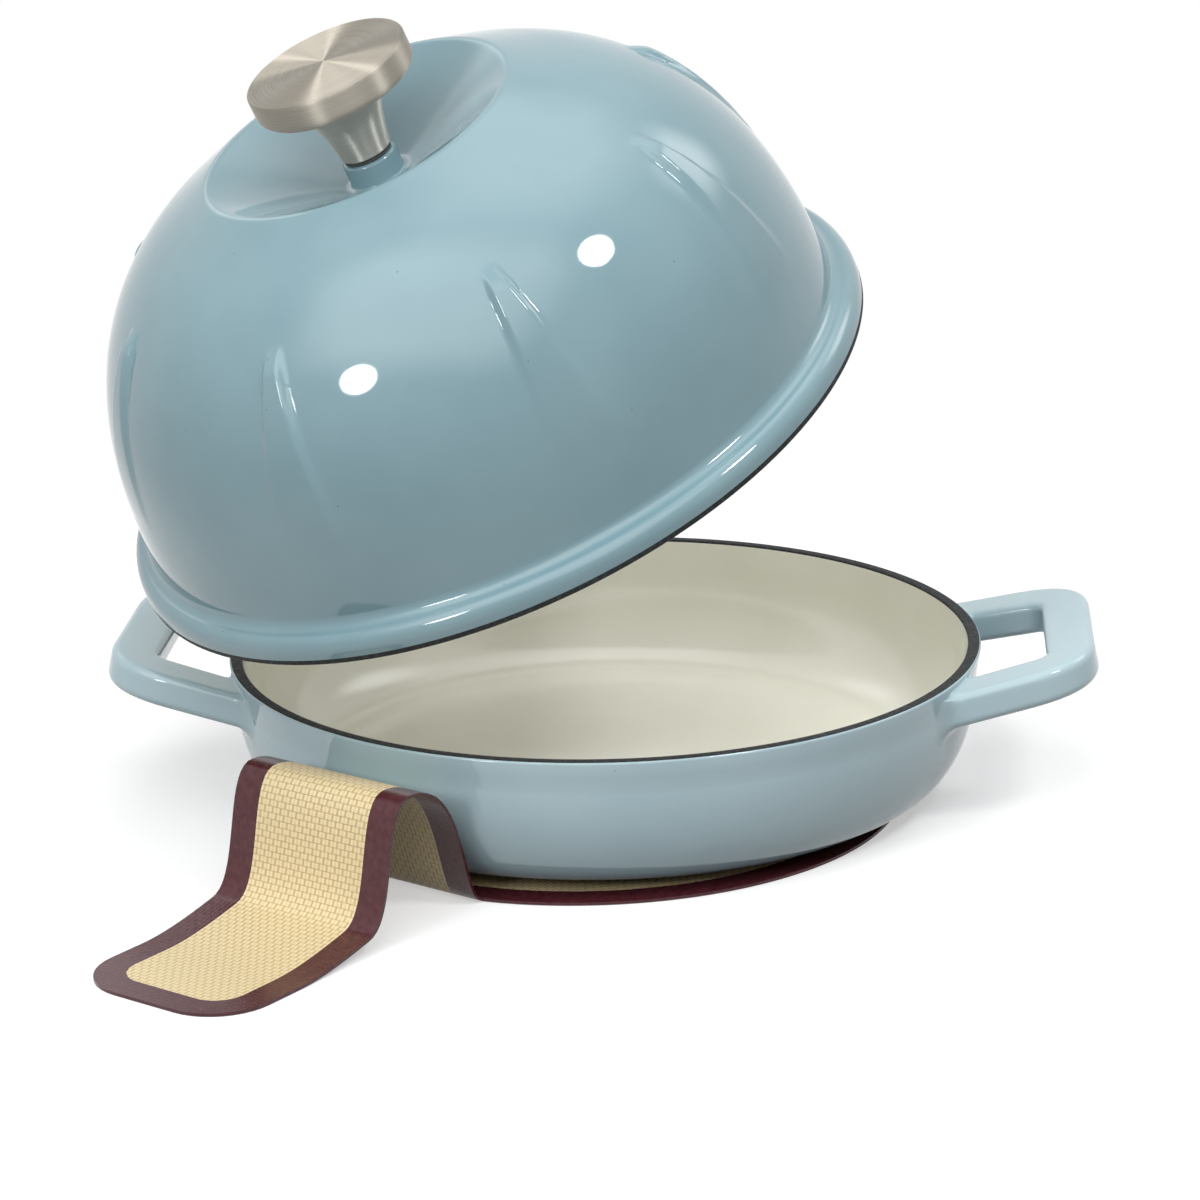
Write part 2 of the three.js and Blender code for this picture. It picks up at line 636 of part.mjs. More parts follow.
function slingPath() {
  const middle = SLING_THICKNESS / 2;
  const foldRadius = (SLING_THICKNESS + SLIDE_CLEARANCE) / 2;
  const foldReach = slingDiscRadius + SLING_FOLD_ALLOWANCE;
  const strapRoot = Math.sqrt(slingDiscRadius ** 2 - (SLING_STRAP_WIDTH / 2) ** 2);
  const half = SLING_LENGTH / 2;
  const landing = archCrestReach + SLING_ARCH_FALL;
  const crestTop = SLING_ARCH_HEIGHT + middle;
  const upperLength = half - foldReach - Math.PI * foldRadius;
  const upperEnd = upperLength - foldReach;
  const upperHeight = middle + 2 * foldRadius;
  const cornerSteps = circleArc([0, 1], 1, DOWN, 0, ROUND_STEPS).map(([share]) => 1 - share);
  const upper = cornerSteps.map((share) => [upperEnd - SLING_CORNER_RADIUS * (1 - share), upperHeight]);
  const fold = circleArc([-foldReach, middle + foldRadius], foldRadius, 90, 270, CURVE_STEPS);
  const disc = Array.from({ length: DISC_STEPS + 1 }, (_, i) => {
    const angle = Math.PI * (i / DISC_STEPS - 0.5);
    return [strapRoot * Math.sin(angle), middle];
  }).filter(([reach]) => reach < archStart);
  const rise = bezierPoints(
    [archStart, middle],
    [archStart + SLING_ARCH_RISE * SLING_FOOT_CURL, middle],
    [archCrestReach - SLING_ARCH_RISE * SLING_CREST_CURL, crestTop],
    [archCrestReach, crestTop],
    WALL_STEPS,
  );
  const fall = bezierPoints(
    [archCrestReach, crestTop],
    [archCrestReach + SLING_ARCH_FALL * SLING_DROP_CURL, crestTop],
    [landing - SLING_ARCH_FALL * SLING_LANDING_CURL, middle],
    [landing, middle],
    WALL_STEPS,
  );
  const arch = [...rise, ...fall.slice(1)];
  let archLength = 0;
  for (let i = 1; i < arch.length; i += 1) {
    archLength += Math.hypot(arch[i][0] - arch[i - 1][0], arch[i][1] - arch[i - 1][1]);
  }
  const tip = landing + half - archStart - archLength;
  const end = cornerSteps.map((share) => [tip - SLING_CORNER_RADIUS * (1 - share), middle]).reverse();
  return [...upper, ...fold, ...disc, ...arch, ...end];
}

function breadSling() {
  const path = slingPath();
  const lift = SLING_THICKNESS / 2;
  const end = SLING_LENGTH / 2;
  let length = -end;
  const sections = path.map(([reach, height], i) => {
    const before = path[Math.max(i - 1, 0)];
    const after = path[Math.min(i + 1, path.length - 1)];
    const run = new THREE.Vector2(after[0] - before[0], after[1] - before[1]).normalize();
    length += Math.hypot(reach - before[0], height - before[1]);
    const half = slingHalfWidth(Math.min(length, end));
    const corners = [[-half, -lift], [half, -lift], [half, lift], [-half, lift]];
    return corners.map(([across, up]) => [reach - run.y * up, across, height + run.x * up]);
  });
  const mesh = namedMesh('bread_sling', lofted(sections), WOVEN_SILICONE);
  mesh.position.set(SLING_CENTRE_X, SLING_CENTRE_Y, 0);
  mesh.rotation.z = radians(SLING_AZIMUTH);
  return mesh;
}

const breadPot = new THREE.Group();
breadPot.add(basePan(), lidAssembly(), breadSling());

export default breadPot;
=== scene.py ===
"""Looks of a cast iron bread pot: an enamelled pan, a domed lid with a steel knob, a woven sling.

The sizes in the classes are millimetres and degrees. Meshes are in metres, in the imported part's frame.
"""

import logging
import math
from collections.abc import Callable, Mapping, Sequence
from dataclasses import dataclass, field
from enum import Enum
from functools import partial
from typing import Any

import bpy
from mathutils import Matrix, Vector


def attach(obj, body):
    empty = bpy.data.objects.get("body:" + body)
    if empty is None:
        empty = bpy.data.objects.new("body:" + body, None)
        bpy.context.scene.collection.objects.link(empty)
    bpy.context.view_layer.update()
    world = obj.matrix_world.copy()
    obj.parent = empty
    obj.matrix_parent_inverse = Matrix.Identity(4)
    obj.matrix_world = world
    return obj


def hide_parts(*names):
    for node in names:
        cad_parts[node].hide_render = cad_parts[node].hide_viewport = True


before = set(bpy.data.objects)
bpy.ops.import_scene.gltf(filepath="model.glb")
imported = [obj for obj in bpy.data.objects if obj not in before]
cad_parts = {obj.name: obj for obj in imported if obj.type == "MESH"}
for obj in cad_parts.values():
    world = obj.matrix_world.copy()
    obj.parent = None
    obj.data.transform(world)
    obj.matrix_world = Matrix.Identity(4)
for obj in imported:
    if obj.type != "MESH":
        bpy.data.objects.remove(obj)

LOG = logging.getLogger("bread_pot")
MM = 0.001
SAME_POINT = 0.002  # Points of a turned mesh that lie this close are one.
ON_AXIS = 0.01  # A point this close to its axis has no angle of its own.
SUM_ERROR = 1e-9  # A sum of lengths may be off by this much.
Point = tuple[float, float]
Place = tuple[float, float, float]
Piece = bpy.types.Object
Material = bpy.types.Material
NodeAdder = Callable[..., bpy.types.Node]


class Body(Enum):
    """The moving bodies of the part."""

    PAN = "pan"
    LID = "lid"
    SLING = "sling"


class Slot(Enum):
    """The finishes that the part's record names."""

    ENAMEL = "enamelled_iron"
    STEEL = "brushed_steel"
    BRASS = "brass"
    FIBRE = "dark_fibre"
    WOVEN = "woven_silicone"


def linear(code: str) -> tuple[float, float, float, float]:
    """Turns an sRGB hex colour into linear light.

    Args:
        code: The colour as #rrggbb.

    Returns:
        Red, green, blue and an opaque alpha.
    """
    shares = [int(code[i:i + 2], 16) / 255 for i in (1, 3, 5)]
    red, green, blue = (c / 12.92 if c <= 0.04045 else ((c + 0.055) / 1.055) ** 2.4 for c in shares)
    return red, green, blue, 1.0


def add_node(
    tree: bpy.types.NodeTree,
    kind: str,
    settings: Mapping[Any, Any] | None = None,
    links: Mapping[Any, bpy.types.Node | bpy.types.NodeSocket] | None = None,
) -> bpy.types.Node:
    """Adds a node with its settings and links.

    Args:
        tree: The node tree that gets the node.
        kind: Blender's name for the node's type, after ShaderNode.
        settings: Values by property name, or by an input's name or number.
        links: What feeds an input, by its name or number: a socket, or a node's first output in use.

    Returns:
        The new node.
    """
    node = tree.nodes.new("ShaderNode" + kind)
    for key, value in (settings or {}).items():
        if isinstance(key, str) and hasattr(node, key):
            setattr(node, key, value)
        else:
            node.inputs[key].default_value = value
    for key, source in (links or {}).items():
        if isinstance(source, bpy.types.Node):
            source = next(socket for socket in source.outputs if socket.enabled)
        tree.links.new(source, node.inputs[key])
    return node


def empty_tree(owner: Material | bpy.types.World | bpy.types.Light) -> NodeAdder:
    """Gives a material, world or lamp an empty node tree.

    Args:
        owner: What gets the tree.

    Returns:
        The function add_node, for that tree.
    """
    owner.use_nodes = True
    owner.node_tree.nodes.clear()
    return partial(add_node, owner.node_tree)


@dataclass(frozen=True)
class EnamelFinish:
    """Vitreous enamel, sprayed on cast iron and fired."""

    name: str  # The material's name.
    colour: str  # The glaze's own colour.
    deep: str  # The colour where the glaze lies a little thicker.
    speck: str  # The colour of the rare pinholes that fired dark.
    roughness: float = 0.05  # How far the gloss spreads.
    ior: float = 1.52  # How strongly the glass bends light.
    cloud_mm: float = 45.0  # Size of the slow drift in colour.
    peel_mm: float = 7.0  # Spacing of the soft ripple that spraying leaves.
    peel_depth_mm: float = 0.006  # Height of that ripple.
    speck_mm: float = 13.0  # Spacing of the places where a pinhole may sit.
    speck_radius_mm: float = 0.35  # Radius of a pinhole.

    def make(self) -> Material:
        """Builds the material.

        Returns:
            A glassy coat with a slow drift of colour, faint ripples in its gloss and a few dark pinholes.
        """
        material = bpy.data.materials.new(self.name)
        add = empty_tree(material)
        place = add("TexCoord").outputs["Object"]
        # The glaze runs a little as it melts, so its colour drifts slowly over a hand's width.
        cloud = add("TexNoise", {"Scale": 1 / (self.cloud_mm * MM), "Detail": 3.0}, {"Vector": place})
        drift = add("MapRange", {"From Min": 0.35, "From Max": 0.7}, {"Value": cloud})
        tones = {"data_type": "RGBA", 6: linear(self.colour), 7: linear(self.deep)}
        glaze = add("Mix", tones, {0: drift})
        # A pinhole shows only where one of these scattered points happens to lie in the surface.
        points = add("TexVoronoi", {"Scale": 1 / (self.speck_mm * MM)}, {"Vector": place})
        radius = self.speck_radius_mm / self.speck_mm
        spot = {"From Min": 0.6 * radius, "From Max": radius, "To Min": 0.7, "To Max": 0.0}
        pinhole = add("MapRange", spot, {"Value": points})
        colour = add("Mix", {"data_type": "RGBA", 7: linear(self.speck)}, {0: pinhole, 6: glaze})
        # Sprayed glaze melts to a skin like orange peel, which bends the reflections a little.
        peel = add("TexNoise", {"Scale": 1 / (self.peel_mm * MM), "Detail": 1.0}, {"Vector": place})
        skin = add("Bump", {"Strength": 1.0, "Distance": self.peel_depth_mm * MM}, {"Height": peel})
        gloss = {"Roughness": self.roughness, "IOR": self.ior}
        shader = add("BsdfPrincipled", gloss, {"Base Color": colour, "Normal": skin})
        add("OutputMaterial", links={"Surface": shader})
        return material


@dataclass(frozen=True)
class BlackEnamelFinish:
    """Matt black ground enamel, brushed thinly on the rims and the foot."""

    name: str = "matt black ground enamel"  # The material's name.
    colour: str = "#202324"  # The ground coat's colour.
    grain_top_colour: str = "#3c4040"  # The paler colour on the tops of the cast grain.
    grain_mm: float = 1.1  # Size of the sand-cast grain that shows through.
    grain_depth_mm: float = 0.06  # Height of that grain.
    ior: float = 1.3  # How strongly the thin coat bends light.

    def make(self) -> Material:
        """Builds the material.

        Returns:
            A dull dark coat, paler and glossier on the tops of its fine cast grain.
        """
        material = bpy.data.materials.new(self.name)
        add = empty_tree(material)
        place = add("TexCoord").outputs["Object"]
        # Sand-cast grain is finer than this. It is drawn coarse enough to show in the picture.
        grain = add("TexNoise", {"Scale": 1 / (self.grain_mm * MM), "Detail": 4.0}, {"Vector": place})
        tops = add("MapRange", {"From Min": 0.45, "From Max": 0.85}, {"Value": grain})
        tones = {"data_type": "RGBA", 6: linear(self.colour), 7: linear(self.grain_top_colour)}
        colour = add("Mix", tones, {0: tops})
        spread = {"From Min": 0.3, "From Max": 0.8, "To Min": 0.75, "To Max": 0.55}
        dullness = add("MapRange", spread, {"Value": grain})
        relief = add("Bump", {"Strength": 0.7, "Distance": self.grain_depth_mm * MM}, {"Height": grain})
        fed = {"Base Color": colour, "Roughness": dullness, "Normal": relief}
        shader = add("BsdfPrincipled", {"IOR": self.ior}, fed)
        add("OutputMaterial", links={"Surface": shader})
        return material


@dataclass(frozen=True)
class TurnedMetalFinish:
    """Metal that was turned and brushed in circles on a lathe."""

    name: str  # The material's name.
    colour: str  # The metal's colour.
    line: str  # The colour of the darker brush lines.
    roughness: float  # How far the gloss spreads along the brush lines.
    stretch: float  # How much further it spreads across them.
    line_mm: float = 0.2  # Spacing of the brush lines.
    run_mm: float = 60.0  # Length of a brush line round the piece.

    def make(self) -> Material:
        """Builds the material.

        Returns:
            A satin metal whose highlights fan out from the turning axis, with fine rings in it.
        """
        material = bpy.data.materials.new(self.name)
        add = empty_tree(material)
        place = add("TexCoord").outputs["UV"]
        # Brush lines are about a tenth of this apart. They are drawn coarse enough to show.
        brush = (1 / (self.run_mm * MM), 1 / (self.line_mm * MM), 1.0)
        brushed = add("Mapping", {"Scale": brush}, {"Vector": place})
        lines = add("TexNoise", {"Scale": 1.0, "Detail": 5.0}, {"Vector": brushed})
        depth = add("MapRange", {"From Min": 0.3, "From Max": 0.7}, {"Value": lines})
        tones = {"data_type": "RGBA", 6: linear(self.line), 7: linear(self.colour)}
        colour = add("Mix", tones, {0: depth})
        spread = {"To Min": self.roughness * 1.2, "To Max": self.roughness * 0.85}
        dullness = add("MapRange", spread, {"Value": depth})
        along = add("Tangent", {"direction_type": "UV_MAP"})
        metal = {"Metallic": 1.0, "Anisotropic": self.stretch, "Anisotropic Rotation": 0.25}
        fed = {"Base Color": colour, "Roughness": dullness, "Tangent": along}
        shader = add("BsdfPrincipled", metal, fed)
        add("OutputMaterial", links={"Surface": shader})
        return material


@dataclass(frozen=True)
class FibreFinish:
    """Pressed fibre board, punched to a ring."""

    name: str = "pressed dark fibre"  # The material's name.
    colour: str = "#343432"  # The board's colour.
    strand: str = "#565450"  # The paler colour of its strands.
    strand_mm: float = 0.5  # Size of the matted strands.
    strand_depth_mm: float = 0.1  # Height of those strands.
    roughness: float = 0.8  # How dull the board is.
    ior: float = 1.5  # How strongly its binder bends light.

    def make(self) -> Material:
        """Builds the material.

        Returns:
            A dull dark board with a matted grain.
        """
        material = bpy.data.materials.new(self.name)
        add = empty_tree(material)
        place = add("TexCoord").outputs["Object"]
        mat = add("TexNoise", {"Scale": 1 / (self.strand_mm * MM), "Detail": 4.0}, {"Vector": place})
        tones = {"data_type": "RGBA", 6: linear(self.colour), 7: linear(self.strand)}
        colour = add("Mix", tones, {0: mat})
        relief = add("Bump", {"Strength": 0.5, "Distance": self.strand_depth_mm * MM}, {"Height": mat})
        board = {"Roughness": self.roughness, "IOR": self.ior}
        shader = add("BsdfPrincipled", board, {"Base Color": colour, "Normal": relief})
        add("OutputMaterial", links={"Surface": shader})
        return material


@dataclass(frozen=True)
class WovenSiliconeFinish:
    """Glass-fibre cloth, woven in short bricks of yarn and coated with silicone."""

    name: str = "silicone coated glass cloth"  # The material's name.
    edge_layer: str = "edge_distance"  # Mesh attribute with how far a point lies inside the cut edge.
    yarn: str = "#e2d2aa"  # The colour on top of the yarns.
    # The gap colour is painted shade for the slits and grooves between the yarns.
    gap: str = "#bda371"  # The colour down between the yarns.
    border: str = "#43191f"  # The colour of the printed border and rings.
    border_light: str = "#53282d"  # The border's colour where the cloth's grain lifts it.
    brick_mm: Point = (3.2, 2.0)  # Length and width of the brick that a yarn shows where it lies on top.
    round_mm: float = 0.6  # How far a brick's ends are rounded down to the slits between them.
    groove_share: float = 0.4  # Width of the grooves between the rows of bricks, against those slits.
    yarn_depth_mm: float = 0.14  # Height of the weave.
    border_mm: float = 10.0  # Width of the printed border.
    ring_pitch_mm: float = 12.5  # Spacing of the printed rings.
    ring_reach_mm: Point = (36.0, 77.0)  # Radii that the rings lie between.
    ring_half_mm: float = 0.7  # Half of a ring's width.
    mottle_mm: float = 2.5  # Size of the print's mottle.
    ior: float = 1.45  # How strongly the silicone bends light.

    def make(self) -> Material:
        """Builds the material on the flat cloth's own coordinates, which its UV map holds in metres.

        Returns:
            A satin cloth of cream yarns with a glossy dark border and four plain rings.
        """
        material = bpy.data.materials.new(self.name)
        add = empty_tree(material)
        flat = add("TexCoord").outputs["UV"]
        # The yarns that cross the strap float over two others, so they show as rows of bricks.
        # The texture is stretched across the rows, so that the grooves come out finer than the slits.
        lie = {"Rotation": (0.0, 0.0, math.pi / 2), "Scale": (1 / self.groove_share, 1.0, 1.0)}
        turned = add("Mapping", lie, {"Vector": flat})
        brick = {
            "Scale": 1 / MM,
            "Mortar Size": self.round_mm,
            "Mortar Smooth": 1.0,
            "Brick Width": self.brick_mm[0],
            "Row Height": self.brick_mm[1] / self.groove_share,
        }
        slits = add("TexBrick", brick, {"Vector": turned}).outputs["Fac"]
        # Each brick swells twice, over the two yarns under it. A wave's period is 0.1 pi over its scale.
        wave = {"bands_direction": "Y", "Scale": 0.2 * math.pi / (self.brick_mm[0] * MM)}
        swell = add("TexWave", wave, {"Vector": flat}).outputs["Fac"]
        # Painted shade: each brick darkens towards the ends where its yarn dips, and the slits and grooves
        # take the gap's painted shade.
        top = add("MapRange", {"To Min": 0.6, "To Max": 1.0}, {"Value": swell})
        rise = add("MapRange", {"To Min": 1.0, "To Max": 0.0}, {"Value": slits})
        weave = add("Math", {"operation": "MULTIPLY"}, {0: rise, 1: top})
        tones = {"data_type": "RGBA", 6: linear(self.gap), 7: linear(self.yarn)}
        bare = add("Mix", tones, {0: weave})
        # The print covers a band along the cut edge, and rings round the middle.
        inside = add("Attribute", {"attribute_name": self.edge_layer}).outputs["Fac"]
        band = add("Math", {"operation": "LESS_THAN", 1: self.border_mm * MM}, {0: inside})
        radius = add("VectorMath", {"operation": "LENGTH"}, {0: flat})
        half = self.ring_pitch_mm / 2 * MM
        nearest = add("Math", {"operation": "WRAP", 1: half, 2: -half}, {0: radius})
        line = add("Math", {"operation": "COMPARE", 1: 0.0, 2: self.ring_half_mm * MM}, {0: nearest})
        low, high = self.ring_reach_mm
        zone = {"operation": "COMPARE", 1: (low + high) / 2 * MM, 2: (high - low) / 2 * MM}
        among = add("Math", zone, {0: radius})
        rings = add("Math", {"operation": "MULTIPLY"}, {0: line, 1: among})
        printed = add("Math", {"operation": "MAXIMUM"}, {0: band, 1: rings})
        # The print fills the weave, so only a faint mottle and grain of the cloth show through it.
        mottle = add("TexNoise", {"Scale": 1 / (self.mottle_mm * MM), "Detail": 3.0}, {"Vector": flat})
        patch = add("MapRange", {"From Min": 0.35, "From Max": 0.7}, {"Value": mottle})
        tones = {"data_type": "RGBA", 6: linear(self.border), 7: linear(self.border_light)}
        ink = add("Mix", tones, {0: patch})
        colour = add("Mix", {"data_type": "RGBA"}, {0: printed, 6: bare, 7: ink})
        gloss = add("MapRange", {"To Min": 0.4, "To Max": 0.24}, {"Value": printed})
        filled = add("MapRange", {"To Min": 1.0, "To Max": 0.2}, {"Value": printed})
        height = add("Math", {"operation": "MULTIPLY"}, {0: weave, 1: filled})
        relief = add("Bump", {"Strength": 1.0, "Distance": self.yarn_depth_mm * MM}, {"Height": height})
        fed = {"Base Color": colour, "Roughness": gloss, "Normal": relief}
        shader = add("BsdfPrincipled", {"IOR": self.ior}, fed)
        add("OutputMaterial", links={"Surface": shader})
        return material


def arc(centre: Point, radii: Point, start: float, stop: float, steps: int) -> list[Point]:
    """Points on an arc of an ellipse, from one angle in degrees to another."""
    angles = [math.radians(start + (stop - start) * i / steps) for i in range(steps + 1)]
    return [(centre[0] + radii[0] * math.cos(a), centre[1] + radii[1] * math.sin(a)) for a in angles]


def bezier(corners: Sequence[Point], steps: int) -> list[Point]:
    """Points on a Bezier curve.

    Args:
        corners: Its start, the points that pull it, and its end.
        steps: Number of segments.

    Returns:
        The points from start to end.
    """
    last = len(corners) - 1
    found = []
    for i in range(steps + 1):
        t = i / steps
        shares = [math.comb(last, k) * t ** k * (1 - t) ** (last - k) for k in range(last + 1)]
        found.append(tuple(sum(s * c[axis] for s, c in zip(shares, corners)) for axis in (0, 1)))
    return found


def smooth_step(low: float, high: float, value: float) -> float:
    """Eases from 0 at low to 1 at high."""
    t = min(max((value - low) / (high - low), 0.0), 1.0)
    return t * t * (3 - 2 * t)


def turn(name: str, profile: Sequence[Point], steps: int) -> Piece:
    """Extrudes a profile point by point and spins it round Z into a turned piece.

    Args:
        name: The piece's name.
        profile: Points of radius and height.
        steps: Number of steps in a full turn.

    Returns:
        The turned piece, in object mode.
    """
    bpy.ops.object.select_all(action="DESELECT")
    bpy.ops.mesh.primitive_plane_add(size=MM)
    piece = bpy.context.object
    piece.name = piece.data.name = name
    bpy.ops.object.mode_set(mode="EDIT")
    bpy.ops.mesh.merge(type="CENTER")
    here = (0.0, 0.0)
    for i, (radius, height) in enumerate(profile):
        shift = ((radius - here[0]) * MM, 0.0, (height - here[1]) * MM)
        if i == 0:
            bpy.ops.transform.translate(value=shift)
        else:
            bpy.ops.mesh.extrude_region_move(TRANSFORM_OT_translate={"value": shift})
        here = (radius, height)
    bpy.ops.mesh.select_all(action="SELECT")
    bpy.ops.mesh.spin(steps=steps, angle=math.tau, center=(0, 0, 0), axis=(0, 0, 1))
    bpy.ops.mesh.select_all(action="SELECT")
    bpy.ops.mesh.remove_doubles(threshold=SAME_POINT * MM)
    bpy.ops.mesh.normals_make_consistent(inside=False)
    bpy.ops.object.mode_set(mode="OBJECT")
    return piece


def pick(piece: Piece) -> None:
    """Selects one piece alone and makes it active."""
    bpy.ops.object.select_all(action="DESELECT")
    piece.select_set(True)
    bpy.context.view_layer.objects.active = piece


def apply_modifier(piece: Piece, kind: str, **settings: Any) -> None:
    """Adds a modifier to a piece and applies it.

    Args:
        piece: The piece that is changed.
        kind: Blender's name for the modifier's type.
        **settings: The modifier's settings.
    """
    pick(piece)
    modifier = piece.modifiers.new(kind.lower(), kind)
    for key, value in settings.items():
        setattr(modifier, key, value)
    bpy.ops.object.modifier_apply(modifier=modifier.name)


def settle(piece: Piece) -> None:
    """Keeps a piece's place, turn and size in its mesh."""
    pick(piece)
    bpy.ops.object.transform_apply(location=True, rotation=True, scale=True)


def cut_slot(piece: Piece, size: Place, place: Place, angle: float = 0.0) -> None:
    """Cuts a straight slot into a piece.

    Args:
        piece: The piece that is cut.
        size: The slot's length, width and height.
        place: Its middle.
        angle: How far it is turned round Z.
    """
    bpy.ops.object.select_all(action="DESELECT")
    bpy.ops.mesh.primitive_cube_add(size=MM, location=[x * MM for x in place])
    slot = bpy.context.object
    slot.scale = size
    slot.rotation_euler.z = math.radians(angle)
    settle(slot)
    apply_modifier(piece, "BOOLEAN", operation="DIFFERENCE", solver="EXACT", object=slot)
    bpy.data.objects.remove(slot)


def soften(piece: Piece, angle: float) -> None:
    """Shades a piece smooth, apart from edges sharper than an angle in degrees."""
    pick(piece)
    bpy.ops.object.shade_smooth_by_angle(angle=math.radians(angle))


def dress(
    piece: Piece,
    materials: Sequence[Material],
    zone: Callable[[Vector, Vector], int] | None = None,
) -> None:
    """Gives a piece its materials.

    Args:
        piece: The piece.
        materials: Its materials in slot order.
        zone: Chooses a slot from a face's centre and normal. The first slot is used without it.
    """
    piece.data.materials.clear()
    for material in materials:
        piece.data.materials.append(material)
    for face in piece.data.polygons:
        face.material_index = zone(face.center, face.normal) if zone else 0


def lay_turned_uv(piece: Piece) -> None:
    """Lays a UV map on a turned piece: round its axis, and along its profile, both in metres."""
    mesh = piece.data
    layer = mesh.uv_layers.active or mesh.uv_layers.new(name="UVMap")
    reach = max(math.hypot(v.co.x, v.co.y) for v in mesh.vertices)
    for face in mesh.polygons:
        middle = math.atan2(face.center.y, face.center.x)
        for corner in face.loop_indices:
            at = mesh.vertices[mesh.loops[corner].vertex_index].co
            radius = math.hypot(at.x, at.y)
            angle = math.atan2(at.y, at.x) if radius > ON_AXIS * MM else middle
            angle = middle + math.remainder(angle - middle, math.tau)
            layer.data[corner].uv = (angle * reach, at.z - radius)


def place_piece(piece: Piece, body: Body, slot: Slot, *nodes: str) -> None:
    """Lets a piece ride on a body in the place of CAD nodes, and reports it.

    Args:
        piece: The finished piece.
        body: The body that it moves with.
        slot: The record's finish that it stands for; not used.
        *nodes: The CAD nodes that it replaces.
    """
    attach(piece, body.value)
    if nodes:
        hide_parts(*nodes)
    LOG.info("%s: %d faces, rides on %s", piece.name, len(piece.data.polygons), body.value)


